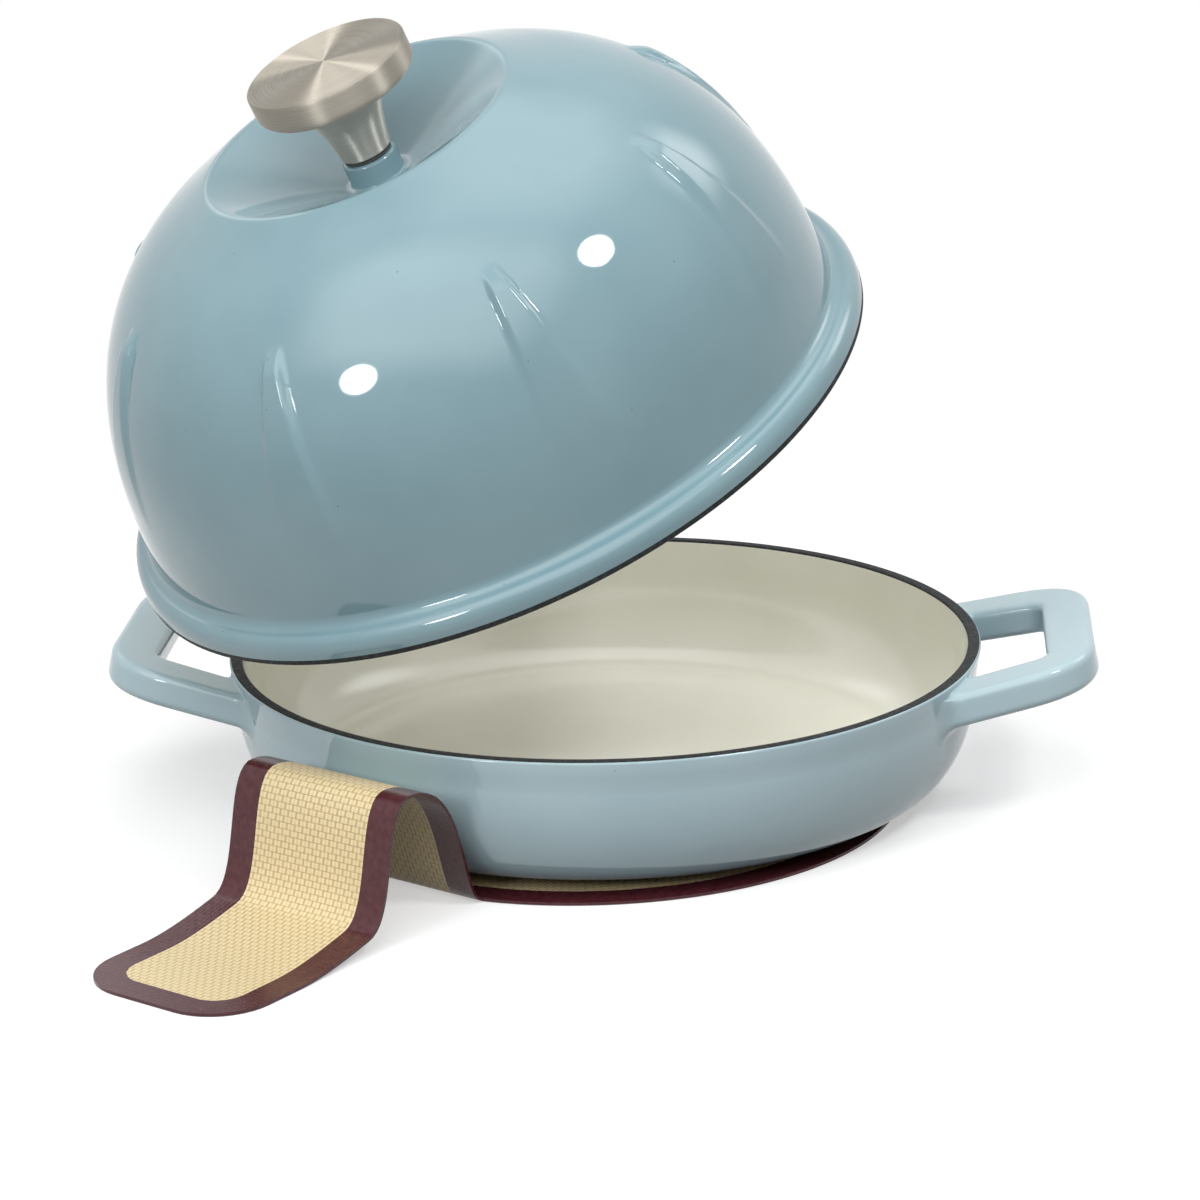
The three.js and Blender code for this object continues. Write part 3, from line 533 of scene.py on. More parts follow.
@dataclass
class LoopHandle:
    """One cast loop handle, tilted up from the pan's rim."""

    rim_radius: float = 127.0  # Radius of the pan's rim, where the tilt is centred.
    hinge_height: float = 49.1  # Height of the handle's top there.
    reach: float = 37.5  # How far the handle stands out from the rim.
    thickness: float = 11.2  # Height of the handle's bar.
    end_half: float = 46.0  # Half of its outer width at the end.
    root_half: float = 53.0  # Half of its outer width at the wall.
    root_x: float = 115.0  # How far out the outer width is measured at the wall.
    corner: float = 24.0  # Rounding of the outer corners.
    window_end: float = 148.0  # Where the window ends.
    window_root: float = 121.0  # Where the window's root width is measured.
    window_end_half: float = 29.5  # Half of the window's width at its end.
    window_root_half: float = 35.0  # Half of the window's width at its root.
    window_corner: float = 5.0  # Rounding of the window's corners.
    edge: float = 2.8  # Rounding of the bar's edges.
    fillet: float = 4.5  # Rounding where the bar runs into the wall.
    top_fillet_share: float = 0.22  # How much of that rounding the top takes, under the rim.
    sink: float = 0.12  # How far the bar's end runs into the wall.
    spread: float = 1.2  # How much wider than its rounding it is there.
    tilt: float = 13.0  # How far the handle is tilted up.
    flats: int = 5  # Faces across each flat of the bar.
    bend_steps: int = 12  # Steps round a bend.

    def _ring(self) -> list[tuple[float, float, float, float]]:
        """Points round the bar's section.

        Returns:
            For each point its side (0 window, 1 outside), its height share, and its outward direction.
        """
        points = []
        corners = ((1, 1, 0), (0, 1, 90), (0, 0, 180), (1, 0, 270))
        for (side, height, first), after in zip(corners, corners[1:] + corners[:1]):
            for step in range(0, 91, 15):
                a = math.radians(first + step)
                points.append((side, height, math.cos(a), math.sin(a)))
            for k in range(1, self.flats):
                share = k / self.flats
                flat = (side + (after[0] - side) * share, height + (after[1] - height) * share)
                points.append(flat + points[-1][2:])
        return points

    def _stations(self) -> list[tuple[Point, Point]]:
        """Matching points on the window's and the outside's outline, from one arm to the loop's middle.

        Returns:
            Pairs of window and outside points. The first is where the arm starts to bend.
        """
        end = self.rim_radius + self.reach
        window = (self.window_root, -self.window_root_half), (self.window_end, -self.window_end_half)
        outside = (self.root_x, -self.root_half), (end, -self.end_half)
        sides = []
        for (root, tip), rounding in ((window, self.window_corner), (outside, self.corner)):
            run = Vector((tip[0] - root[0], tip[1] - root[1])).normalized() * rounding
            into, out = (tip[0] - run.x, tip[1] - run.y), (tip[0], tip[1] + rounding)
            across = [(out[0], out[1] * share) for share in (0.75, 0.5, 0.25, 0.0)]
            sides.append(bezier((into, tip, out), self.bend_steps) + across)
        return list(zip(*sides))

    def _place(self, x: float, y: float, lift: float) -> Vector:
        """Tilts a point of the flat handle and sets it at the rim."""
        t = math.radians(self.tilt)
        run = x - self.rim_radius
        return Vector((
            self.rim_radius + run * math.cos(t) - lift * math.sin(t),
            y,
            self.hinge_height + run * math.sin(t) + lift * math.cos(t),
        ))

    def _section(self, inner: Point, outer: Point, flare: float) -> list[Vector]:
        """One section of the bar.

        Args:
            inner: The window's point of this section.
            outer: The outside's point of this section.
            flare: How far the section is widened.

        Returns:
            The section's points.
        """
        across = Vector((outer[0] - inner[0], outer[1] - inner[1]))
        width = across.length
        across.normalize()
        points = []
        for side, height, out, up in self._ring():
            grow = flare * (self.top_fillet_share if up > 0.5 else 1.0)
            reach = self.edge + side * (width - 2 * self.edge) + out * (self.edge + grow)
            lift = -self.thickness + self.edge + height * (self.thickness - 2 * self.edge)
            lift += up * (self.edge + grow)
            points.append(self._place(inner[0] + across.x * reach, inner[1] + across.y * reach, lift))
        return points

    def _to_wall(self, start: Vector, run: Vector, wall: Callable[[float], float]) -> float:
        """How far a line runs before it meets the pan's wall.

        Args:
            start: The line's start, outside the wall.
            run: Its direction, one long.
            wall: The wall's radius at a height.

        Returns:
            The length up to the wall.
        """
        low, high, halvings = 0.0, self.rim_radius / 2, 40
        for _ in range(halvings):
            middle = (low + high) / 2
            at = start + run * middle
            if math.hypot(at.x, at.y) > wall(at.z):
                low = middle
            else:
                high = middle
        return low

    def _arm(self, wall: Callable[[float], float]) -> list[list[Vector]]:
        """The sections of one arm, from inside the wall out to where the arm bends.

        Args:
            wall: The wall's radius at a height.

        Returns:
            The sections in order.
        """
        inner, outer = self._stations()[0]
        rounds = [(-self.sink, self.fillet + self.spread)]
        for angle in range(90, -1, -10):
            a = math.radians(angle)
            rounds.append((self.fillet * (1 - math.sin(a)), self.fillet * (1 - math.cos(a))))
        inner_run = Vector((self.window_root - inner[0], -self.window_root_half - inner[1])).normalized()
        outer_run = Vector((self.root_x - outer[0], -self.root_half - outer[1])).normalized()
        t = math.radians(self.tilt)
        sections = []
        for gap, flare in rounds:
            section = []
            for (side, _, _, _), start in zip(self._ring(), self._section(inner, outer, flare)):
                flat = inner_run.lerp(outer_run, side).normalized()
                run = Vector((flat.x * math.cos(t), flat.y, flat.x * math.sin(t)))
                section.append(start + run * (self._to_wall(start, run, wall) - gap))
            sections.append(section)
        straight = self._section(inner, outer, 0.0)
        for share in (0.33, 0.67):
            sections.append([a.lerp(b, share) for a, b in zip(sections[len(rounds) - 1], straight)])
        return sections

    def build(self, name: str, wall: Callable[[float], float]) -> Piece:
        """Extrudes the bar's section from one end of the loop to the other.

        Args:
            name: The piece's name.
            wall: The pan wall's outside radius at a height.

        Returns:
            The handle along +X, closed at both ends inside the wall.
        """
        loop = [self._section(p, q, 0.0) for p, q in self._stations()]
        sections = self._arm(wall) + loop
        sections += [[Vector((p.x, -p.y, p.z)) for p in section] for section in reversed(sections[:-1])]
        count = len(sections[0])
        bpy.ops.object.select_all(action="DESELECT")
        bpy.ops.mesh.primitive_circle_add(vertices=count, radius=self.thickness * MM, fill_type="NGON")
        piece = bpy.context.object
        piece.name = piece.data.name = name
        bpy.ops.object.mode_set(mode="EDIT")
        for _ in sections[1:]:
            bpy.ops.mesh.extrude_region_move(TRANSFORM_OT_translate={"value": (0, 0, self.edge * MM)})
        bpy.ops.object.mode_set(mode="OBJECT")
        for i, section in enumerate(sections):
            for k, at in enumerate(section):
                piece.data.vertices[i * count + k].co = at * MM
        pick(piece)
        bpy.ops.object.mode_set(mode="EDIT")
        bpy.ops.mesh.select_all(action="SELECT")
        bpy.ops.mesh.normals_make_consistent(inside=False)
        bpy.ops.object.mode_set(mode="OBJECT")
        return piece


@dataclass
class Pan:
    """The shallow cast pan with its two loop handles."""

    bottom: float = 2.6  # Height of the foot's underside.
    height: float = 47.3  # The pan's height.
    rim_radius: float = 127.0  # Outside radius of the rim.
    rim_width: float = 4.4  # Width of the rim's flat top.
    rim_round: float = 0.9  # Rounding of the rim's edges.
    wall: float = 4.2  # Thickness of the wall.
    draft: float = 1.3  # How much the wall opens over its upper part.
    upper: float = 10.0  # Height of that upper part.
    belly: float = 18.4  # How far the rounded lower part draws in.
    floor: float = 5.0  # Thickness of the floor.
    foot_height: float = 1.8  # Height of the foot.
    foot_inset: float = 3.3  # How far the foot stands in from the base's edge.
    foot_round: float = 0.6  # Rounding of the foot's lower edge.
    foot_hollow: float = 0.5  # Rounding where the foot meets the base.
    # The black foot enamel runs this far up the belly, carried on as a painted shadow under the belly.
    bare: float = 1.2  # How far over the foot the outside glaze starts.
    bare_drop: float = 0.68  # How far down the rim's edges are bare.
    bare_inset: float = 0.5  # How far in from its outside that starts.
    corner: float = 24.0  # Rounding between the floor and the wall, inside.
    steps: int = 192  # Steps in a full turn.
    smooth: float = 38.0  # Edges sharper than this stay sharp.
    handle: LoopHandle = field(default_factory=LoopHandle)  # The loop handle.

    @property
    def top(self) -> float:
        """Height of the rim."""
        return self.bottom + self.height

    @property
    def shoulder(self) -> float:
        """Height where the rounded lower part ends."""
        return self.top - self.upper

    @property
    def base_radius(self) -> float:
        """Radius of the flat base."""
        return self.rim_radius - self.draft - self.belly

    def wall_radius(self, height: float) -> float:
        """Outside radius of the wall at a height."""
        belly_radius = self.rim_radius - self.draft
        foot_top = self.bottom + self.foot_height
        if height >= self.shoulder:
            share = min((height - self.shoulder) / (self.upper - self.rim_round), 1.0)
            return belly_radius + self.draft * share
        drop = min((self.shoulder - height) / (self.shoulder - foot_top), 1.0)
        return self.base_radius + self.belly * math.sqrt(1 - drop * drop)

    def _profile(self) -> list[Point]:
        """The pan's whole section, from the foot's middle round the rim to the floor's middle."""
        foot = self.base_radius - self.foot_inset
        foot_top = self.bottom + self.foot_height
        bore = self.rim_radius - self.rim_width
        soft = self.rim_round
        inner = self.rim_radius - self.draft - self.wall
        floor = self.bottom + self.floor
        outside = [(0.0, self.bottom), (foot * 0.5, self.bottom)]
        small = self.foot_round
        outside += arc((foot - small, self.bottom + small), (small, small), -90, 0, 3)
        outside += [(foot, foot_top - self.foot_hollow), (foot + self.foot_hollow, foot_top)]
        belly = arc((self.base_radius, self.shoulder), (self.belly, self.shoulder - foot_top), -90, 0, 40)
        rim = arc((self.rim_radius - soft, self.top - soft), (soft, soft), 0, 90, 6)
        lip = arc((bore + soft, self.top - soft), (soft, soft), 90, 180, 6)
        well = arc((inner - self.corner, self.shoulder), (self.corner, self.shoulder - floor), 0, -90, 40)
        flat = [(self.rim_radius - self.rim_width / 2, self.top)]
        rise = [(self.rim_radius - self.draft * 0.5, self.shoulder + (self.upper - soft) * 0.5)]
        drop = [(inner + (bore - inner) * 0.5, self.shoulder + (self.upper - soft) * 0.5)]
        middle = [((inner - self.corner) * share, floor) for share in (0.75, 0.5, 0.25, 0.0)]
        return outside + belly + rise + rim + flat + lip + drop + well + middle

    def _zone(self, centre: Vector, normal: Vector) -> int:
        """Chooses outside glaze, inside glaze or bare black edge for a face of the pan's body."""
        radius = math.hypot(centre.x, centre.y) / MM
        height = centre.z / MM
        # The black foot, carried a little way up the belly as a painted shadow.
        if height < self.bottom + self.foot_height + self.bare:
            return 2
        if height > self.top - self.bare_drop and radius < self.rim_radius - self.bare_inset:
            return 2
        outward = (normal.x * centre.x + normal.y * centre.y) > 0
        return 0 if outward and radius > self.base_radius - self.foot_inset else 1

    def build(self, glaze: Material, lining: Material, edge: Material) -> None:
        """Builds the pan and its handles as one casting.

        Args:
            glaze: The outside enamel.
            lining: The inside enamel.
            edge: The black enamel of the rim and the foot.
        """
        body = turn("pan_casting", self._profile(), self.steps)
        dress(body, (glaze, lining, edge), self._zone)
        right = self.handle.build("pan_handle_right", self.wall_radius)
        dress(right, (glaze,))
        left = right.copy()
        left.data = right.data.copy()
        bpy.context.collection.objects.link(left)
        left.rotation_euler.z = math.pi
        settle(left)
        pick(body)
        for handle in (right, left):
            handle.select_set(True)
        bpy.ops.object.join()
        soften(body, self.smooth)
        place_piece(body, Body.PAN, Slot.ENAMEL, "base_pan")


@dataclass
class Tip:
    """How the lid stands: tipped about an axis that lies beside the pot."""

    azimuth: float = 218.1  # Direction that the lid tips towards.
    angle: float = 25.5  # How far it is tipped.
    reach: float = 203.0  # How far the axis lies from the pot's middle.
    height: float = 2.5  # Height of that axis.
    seat: float = 50.2  # Height of the lid's seat when it is closed.

    def matrix(self) -> Matrix:
        """The lid's place as a matrix, from its own frame to the part's."""
        towards = Vector((math.cos(math.radians(self.azimuth)), math.sin(math.radians(self.azimuth)), 0.0))
        pivot = towards * self.reach * MM
        pivot.z = self.height * MM
        axis = Vector((0.0, 0.0, 1.0)).cross(towards)
        swing = Matrix.Rotation(math.radians(self.angle), 4, axis)
        seat = Matrix.Translation((0.0, 0.0, self.seat * MM))
        return Matrix.Translation(pivot) @ swing @ Matrix.Translation(-pivot) @ seat

    def apply(self, piece: Piece) -> None:
        """Tips a piece that was built in the lid's own frame, and keeps the place in its mesh."""
        piece.matrix_world = self.matrix()
        settle(piece)


@dataclass
class DomeLid:
    """The domed lid, with its dish, boss, flange, lip and eight raised ridges."""

    rim_radius: float = 127.9  # Outside radius of the flange.
    edge_round: float = 0.9  # Rounding of the flange's lower edge.
    bare_edge: float = 2.1  # Height of the bare band along that edge.
    wall: float = 4.2  # Thickness of the dome.
    base_radius: float = 120.5  # Radius that the dome's curve springs from.
    base: float = 2.9  # Height that it springs from.
    rise: float = 113.8  # Height of the dome's full curve.
    side_power: float = 2.84  # How square the curve is at its side.
    top_power: float = 2.43  # How square it is at its top.
    shoulder: float = 71.2  # Radius where the curve runs straight on up to the crest.
    crest: float = 51.7  # Radius of the crest round the dish.
    crest_round: float = 3.2  # Rounding of the crest.
    dish_depth: float = 18.25  # Depth of the dish.
    dish_slope: float = 24.5  # Slope of the dish's side.
    dish_round: float = 0.8  # Rounding at the dish's foot.
    boss_radius: float = 9.0  # Radius of the boss under the knob.
    boss_height: float = 7.7  # Height of that boss.
    pad_radius: float = 10.0  # Radius of the pad inside, under the boss.
    pad_bottom: float = 87.1  # Height of that pad's face.
    pad_drop: float = 0.6  # How far under the dome's inside the pad's side ends.
    hole: float = 3.3  # Radius of the screw's hole.
    flange_height: float = 9.0  # Height of the flange.
    flange_edge: float = 3.6  # Height of the flange's upright edge.
    fillet: float = 3.5  # Rounding between the flange and the dome.
    lip_depth: float = 2.4  # Depth of the lip that locates the lid.
    lip_width: float = 4.2  # Width of that lip.
    lip_radius: float = 120.1  # Outside radius of that lip.
    lip_bevel: float = 0.5  # Bevel of its inner edge.
    roundings: Place = (0.7, 0.8, 1.0)  # Roundings of the lip and the boss's foot, of the pad, of the boss.
    ridges: int = 8  # Number of ridges.
    first_ridge: float = -19.9  # Azimuth of the first ridge.
    nose: float = 89.0  # Height of a ridge's nose.
    tail: float = 33.0  # Height where a ridge has faded out.
    nose_blend: float = 5.0  # Half of the way over which a nose melts into the dome.
    nose_half: float = 2.8  # Half of a ridge's width at its nose.
    tail_half: float = 12.0  # Half of its width at its tail.
    relief: float = 2.4  # Height of a ridge over the dome.
    skin_slack: float = 0.6  # How far off the dome's curve a point still counts as its outside.
    flank: float = 1.2  # Half of the width of a ridge's sloping side.
    slant: float = 1.25  # Way along the dome for each step down a ridge.
    gather: float = 0.72  # How far the steps of the turned dome are drawn to the ridges.
    wall_steps: int = 120  # Steps up the dome.
    steps_between: int = 44  # Steps from one ridge to the next.
    smooth: float = 40.0  # Edges sharper than this stay sharp.

    def _curve(self, radius: float) -> float:
        """Height of the dome's full curve at a radius."""
        share = 1 - (radius / self.base_radius) ** self.side_power
        return self.base + self.rise * share ** (1 / self.top_power)

    @property
    def _shoulder_slope(self) -> float:
        """How steeply the curve falls at the shoulder."""
        step = 0.05
        return (self._curve(self.shoulder - step) - self._curve(self.shoulder + step)) / (2 * step)

    def dome_radius(self, height: float) -> float:
        """Outside radius of the dome at a height."""
        above = height - self._curve(self.shoulder)
        if above > 0:
            return self.shoulder - above / self._shoulder_slope
        share = max((height - self.base) / self.rise, 0.0)
        return self.base_radius * (1 - share ** self.top_power) ** (1 / self.side_power)

    def dome_height(self, radius: float) -> float:
        """Height of the dome at a radius."""
        if radius < self.shoulder:
            return self._curve(self.shoulder) + self._shoulder_slope * (self.shoulder - radius)
        return self._curve(radius)

    @property
    def crest_height(self) -> float:
        """Height of the crest."""
        return self.dome_height(self.crest)

    @property
    def dish_floor(self) -> float:
        """Height of the dish's floor."""
        return self.crest_height - self.dish_depth

    def _skin(self) -> list[Point]:
        """The dome's outside, from its foot over the crest into the dish."""
        foot_height = self.flange_height + self.fillet
        foot = self.dome_radius(foot_height)
        start, stop = self.crest + self.crest_round, self.crest - self.crest_round
        slope = math.tan(math.radians(self.dish_slope))
        stop_height = self.crest_height - self.crest_round * slope
        cone_foot = stop - (stop_height - self.dish_floor) / slope
        top_angle = math.acos(start / foot)
        radii = [foot * math.cos(top_angle * i / self.wall_steps) for i in range(self.wall_steps + 1)]
        wall = [(foot, foot_height)] + [(radius, self.dome_height(radius)) for radius in radii[1:]]
        peak = (self.crest, self.crest_height)
        roll = bezier(((start, self.dome_height(start)), peak, peak, (stop, stop_height)), 10)
        corner = (cone_foot, self.dish_floor)
        foot_point = (cone_foot - self.dish_round, self.dish_floor)
        dish = bezier(((stop, stop_height), corner, corner, foot_point), 8)
        return wall + roll[1:] + dish[1:]

    def _profile(self) -> list[Point]:
        """The lid's whole section as a closed loop."""
        skin = self._skin()
        under = self.pad_bottom
        boss_top = self.dish_floor + self.boss_height
        inside = []
        for i, (radius, height) in enumerate(skin):
            before, after = skin[max(i - 1, 0)], skin[min(i + 1, len(skin) - 1)]
            run, rise = after[0] - before[0], after[1] - before[1]
            length = math.hypot(run, rise)
            inside.append((radius - rise / length * self.wall, height + run / length * self.wall))
        # The plain inside needs fewer points than the outside with its ridges.
        inside = inside[:1] + inside[1:-1:3] + inside[-1:]
        foot, foot_height = skin[0]
        lip_inner = self.lip_radius - self.lip_width
        flange_top = foot + self.fillet
        soft = self.edge_round
        small, middle, large = self.roundings
        flange = arc(
            (flange_top, self.flange_edge),
            (self.rim_radius - flange_top, self.flange_height - self.flange_edge), 0, 90, 12,
        )
        hollow = arc((flange_top, foot_height), (self.fillet, self.fillet), -90, -180, 8)
        boss = arc((self.boss_radius + small, self.dish_floor + small), (small, small), -90, -180, 4)
        boss += arc((self.boss_radius - large, boss_top - large), (large, large), 0, 90, 5)
        pad = arc((self.pad_radius - middle, under + middle), (middle, middle), -90, 0, 4)
        lip = arc((self.lip_radius - small, small - self.lip_depth), (small, small), -90, 0, 3)
        edge = arc((self.rim_radius - soft, soft), (soft, soft), -90, 0, 5)
        return (
            [(self.hole, under)]
            + pad
            + [(self.pad_radius, inside[-1][1] - self.pad_drop)]
            + inside[::-1]
            + [(lip_inner, self.flange_height), (lip_inner, self.lip_bevel - self.lip_depth)]
            + [(lip_inner + self.lip_bevel, -self.lip_depth)]
            + lip
            + [(self.lip_radius, 0.0), ((self.lip_radius + self.rim_radius) / 2, 0.0)]
            + edge
            + [(self.rim_radius, self.bare_edge)]
            + flange
            + hollow[1:]
            + skin[1:]
            + boss
            + [(self.hole, boss_top), (self.hole, under)]
        )

    def _gather_steps(self, piece: Piece) -> None:
        """Draws the steps of the turned dome together at the ridges, where the shape is finest."""
        pitch = math.tau / self.ridges
        first = math.radians(self.first_ridge)
        for vertex in piece.data.vertices:
            radius = math.hypot(vertex.co.x, vertex.co.y)
            angle = math.atan2(vertex.co.y, vertex.co.x)
            off = math.remainder(angle - first, pitch) / (pitch / 2)
            bent = (1 - self.gather) * off + self.gather * off ** 3
            angle += (bent - off) * pitch / 2
            vertex.co.x, vertex.co.y = radius * math.cos(angle), radius * math.sin(angle)

    def _ridge_weight(self, at: Vector) -> float:
        """How much of the ridges' relief a point of the dome gets."""
        radius, height = math.hypot(at.x, at.y) / MM, at.z / MM
        outside = abs(radius - self.dome_radius(height)) < self.skin_slack
        if not outside or not self.tail < height < self.nose + self.nose_blend:
            return 0.0
        off = math.remainder(math.atan2(at.y, at.x) - math.radians(self.first_ridge), math.tau / self.ridges)
        across = abs(off) * radius
        along = (self.nose - height) / (self.nose - self.tail)
        down = (self.nose - height) * self.slant
        half = self.nose_half + (self.tail_half - self.nose_half) * max(along, 0.0)
        fade = smooth_step(-self.nose_blend, self.nose_blend, down) * (1 - max(along, 0.0))
        return fade * (1 - smooth_step(-self.flank, self.flank, across - half))

    def _zone(self, centre: Vector, normal: Vector) -> int:
        """Chooses outside glaze, inside glaze or bare black edge for a face of the lid."""
        radius, height = math.hypot(centre.x, centre.y) / MM, centre.z / MM
        if height < self.bare_edge and radius > self.lip_radius - self.lip_width - self.lip_bevel:
            return 2
        if radius > self.lip_radius:
            return 0
        half_wall = self.wall / 2
        outside = radius > self.dome_radius(height) - half_wall
        if height < self.dish_floor - half_wall:
            return 0 if outside and normal.x * centre.x + normal.y * centre.y > 0 else 1
        if radius > self.crest + self.crest_round:
            return 0 if outside else 1
        return 0 if normal.z > 0 or radius < self.pad_radius else 1

    def build(self, tip: Tip, glaze: Material, lining: Material, edge: Material) -> None:
        """Builds the lid and tips it into place.

        Args:
            tip: How the lid stands.
            glaze: The outside enamel.
            lining: The inside enamel.
            edge: The black enamel of the lower edge.
        """
        piece = turn("lid_casting", self._profile(), self.ridges * self.steps_between)
        self._gather_steps(piece)
        dress(piece, (glaze, lining, edge), self._zone)
        group = piece.vertex_groups.new(name="ridges")
        for vertex in piece.data.vertices:
            weight = self._ridge_weight(vertex.co)
            if weight > 0:
                group.add([vertex.index], weight, "REPLACE")
        apply_modifier(piece, "DISPLACE", strength=self.relief * MM, mid_level=0.0, vertex_group=group.name)
        piece.vertex_groups.clear()
        tip.apply(piece)
        soften(piece, self.smooth)
        place_piece(piece, Body.LID, Slot.ENAMEL, "dome_lid")


@dataclass
class Knob:
    """The turned knob on the lid's boss, and the screw that holds it from inside."""

    gasket_bottom: float = 104.6  # Height of the fibre ring, in the lid's frame.
    gasket: float = 0.8  # Thickness of that ring.
    gasket_inset: float = 0.7  # How far that ring stands in from the stem's foot.
    hole: float = 3.3  # Radius of the screw's hole.
    stem_bottom: float = 105.7  # Height of the stem's foot.
    stem_height: float = 21.3  # The stem's height.
    foot: float = 8.6  # Radius of the stem's foot.
    foot_round: float = 1.1  # Rounding of that foot.
    top: float = 15.0  # Radius of the stem's top.
    bore: float = 5.3  # Radius of the stem's bore.
    bore_depth: float = 13.3  # Depth of that bore.
    cap_bottom: float = 127.3  # Height of the cap's underside.
    cap_radius: float = 26.7  # The cap's radius.
    cap_height: float = 11.5  # The cap's height.
    crown: float = 0.8  # How much the cap's top is domed.
    lower_reach: float = 5.6  # How far the cap's lower rounding reaches in.
    lower_round: float = 4.0  # How far it reaches up.
    insert_radius: float = 5.0  # Radius of the threaded insert.
    insert_height: float = 13.0  # Its height.
    flat_washer_bottom: float = 85.4  # Height of the flat washer.
    flat_washer_radius: float = 8.0  # Its radius.
    flat_washer: float = 1.4  # Its thickness.
    spring_washer_bottom: float = 83.5  # Height of the spring washer.
    spring_washer_radius: float = 5.5  # Its radius.
    spring_washer: float = 1.6  # Its thickness.
    spring_gap: float = 1.2  # Width of the split in it.
    head_radius: float = 5.75  # Radius of the screw's head.
    head_height: float = 4.0  # Height of that head.
    head_round: float = 1.2  # Rounding of that head.
    shank: float = 3.0  # Radius of the screw's shank.
    point: float = 1.0  # Bevel of its tip.
    slot: Place = (6.4, 1.6, 4.0)  # Length, width and height of a cutter for its cross slot.
    head_top: float = 83.2  # Height of the screw head's bearing face.
    tip: float = 116.7  # Height of the screw's tip.
    steps: int = 96  # Steps in a full turn.
    smooth: float = 30.0  # Edges sharper than this stay sharp.

    def _stem(self) -> list[Point]:
        """The stem's section: a collar that flares up to the cap."""
        top = self.stem_bottom + self.stem_height
        soft = self.foot_round
        shares = ((0.0, 0.1), (0.15, 0.4), (0.5, 0.8), (1.0, 1.0))
        wider = self.top - self.foot
        pulls = [(self.foot + out * wider, self.stem_bottom + up * self.stem_height) for out, up in shares]
        flare = bezier(pulls, 28)
        roof = self.stem_bottom + self.bore_depth
        return (
            [(self.bore, self.stem_bottom)]
            + arc((self.foot - soft, self.stem_bottom + soft), (soft, soft), -90, 0, 6)
            + flare
            + [(0.0, top), (0.0, roof), (self.bore, roof), (self.bore, self.stem_bottom)]
        )

    def _cap(self) -> list[Point]:
        """The cap's section: rounded below, upright at its edge, and faintly domed on top."""
        edge = self.cap_bottom + self.cap_height - self.crown
        soft = self.crown
        lower = arc(
            (self.cap_radius - self.lower_reach, self.cap_bottom + self.lower_round),
            (self.lower_reach, self.lower_round), -90, 0, 14,
        )
        shoulder = arc((self.cap_radius - soft, edge - soft), (soft, soft), 0, 78, 5)
        start = shoulder[-1][0]
        dome = [
            (start * share, edge + self.crown * (1 - share * share))
            for share in (0.97, 0.9, 0.8, 0.65, 0.5, 0.35, 0.2, 0.08, 0.0)
        ]
        return [(0.0, self.cap_bottom), (self.top, self.cap_bottom)] + lower + shoulder + dome

    def _washer(self, name: str, outer: float, bottom: float, thickness: float) -> Piece:
        """A turned ring with softened edges, round the screw's hole."""
        soft = 0.15
        top = bottom + thickness
        profile = [
            (self.hole, bottom),
            (outer - soft, bottom),
            (outer, bottom + soft),
            (outer, top - soft),
            (outer - soft, top),
            (self.hole, top),
            (self.hole, bottom),
        ]
        return turn(name, profile, self.steps)

    def _screw(self) -> Piece:
        """The pan-head screw, with a cross slot in its head."""
        head, shank, soft = self.head_radius, self.shank, self.head_round
        bottom = self.head_top - self.head_height
        profile = [(0.0, bottom)]
        profile += arc((head - soft, bottom + soft), (soft, soft), -90, 0, 5)
        profile += [(head, self.head_top), (shank, self.head_top), (shank, self.tip - self.point)]
        profile += [(shank - self.point, self.tip), (0.0, self.tip)]
        screw = turn("knob_screw_fine", profile, self.steps)
        for angle in (0.0, 90.0):
            cut_slot(screw, self.slot, (0.0, 0.0, bottom), angle)
        return screw

    def build(self, tip: Tip, steel: Material, satin: Material, brass: Material, fibre: Material) -> None:
        """Builds the knob and its fixings and tips them with the lid.

        Args:
            tip: How the lid stands.
            steel: The cap's and fixings' brushed steel, painted darker than the stem's as painted shade.
            satin: The stem's steel, the same metal in a lighter colour.
            brass: The threaded insert's brass.
            fibre: The gasket's fibre.
        """
        outer, bottom, thickness = self.spring_washer_radius, self.spring_washer_bottom, self.spring_washer
        spring = self._washer("spring_washer_fine", outer, bottom, thickness)
        gap = (2 * outer, self.spring_gap, 2 * thickness)
        cut_slot(spring, gap, (outer, 0.0, bottom + thickness / 2))
        insert = self._washer("knob_insert_fine", self.insert_radius, self.stem_bottom, self.insert_height)
        stem = turn("knob_stem_fine", self._stem(), self.steps)
        cap = turn("knob_cap_fine", self._cap(), self.steps)
        outer, bottom = self.foot - self.gasket_inset, self.gasket_bottom
        gasket = self._washer("knob_gasket_fine", outer, bottom, self.gasket)
        outer, bottom = self.flat_washer_radius, self.flat_washer_bottom
        washer = self._washer("flat_washer_fine", outer, bottom, self.flat_washer)
        pieces = (
            (stem, satin, Slot.STEEL, "knob_stem"),
            (cap, steel, Slot.STEEL, "knob_cap"),
            (insert, brass, Slot.BRASS, "knob_insert"),
            (gasket, fibre, Slot.FIBRE, "knob_gasket"),
            (washer, steel, Slot.STEEL, "flat_washer"),
            (spring, steel, Slot.STEEL, "spring_washer"),
            (self._screw(), steel, Slot.STEEL, "knob_screw"),
        )
        for piece, material, slot, node in pieces:
            dress(piece, (material,))
            lay_turned_uv(piece)
            tip.apply(piece)
            soften(piece, self.smooth)
            place_piece(piece, Body.LID, slot, node)


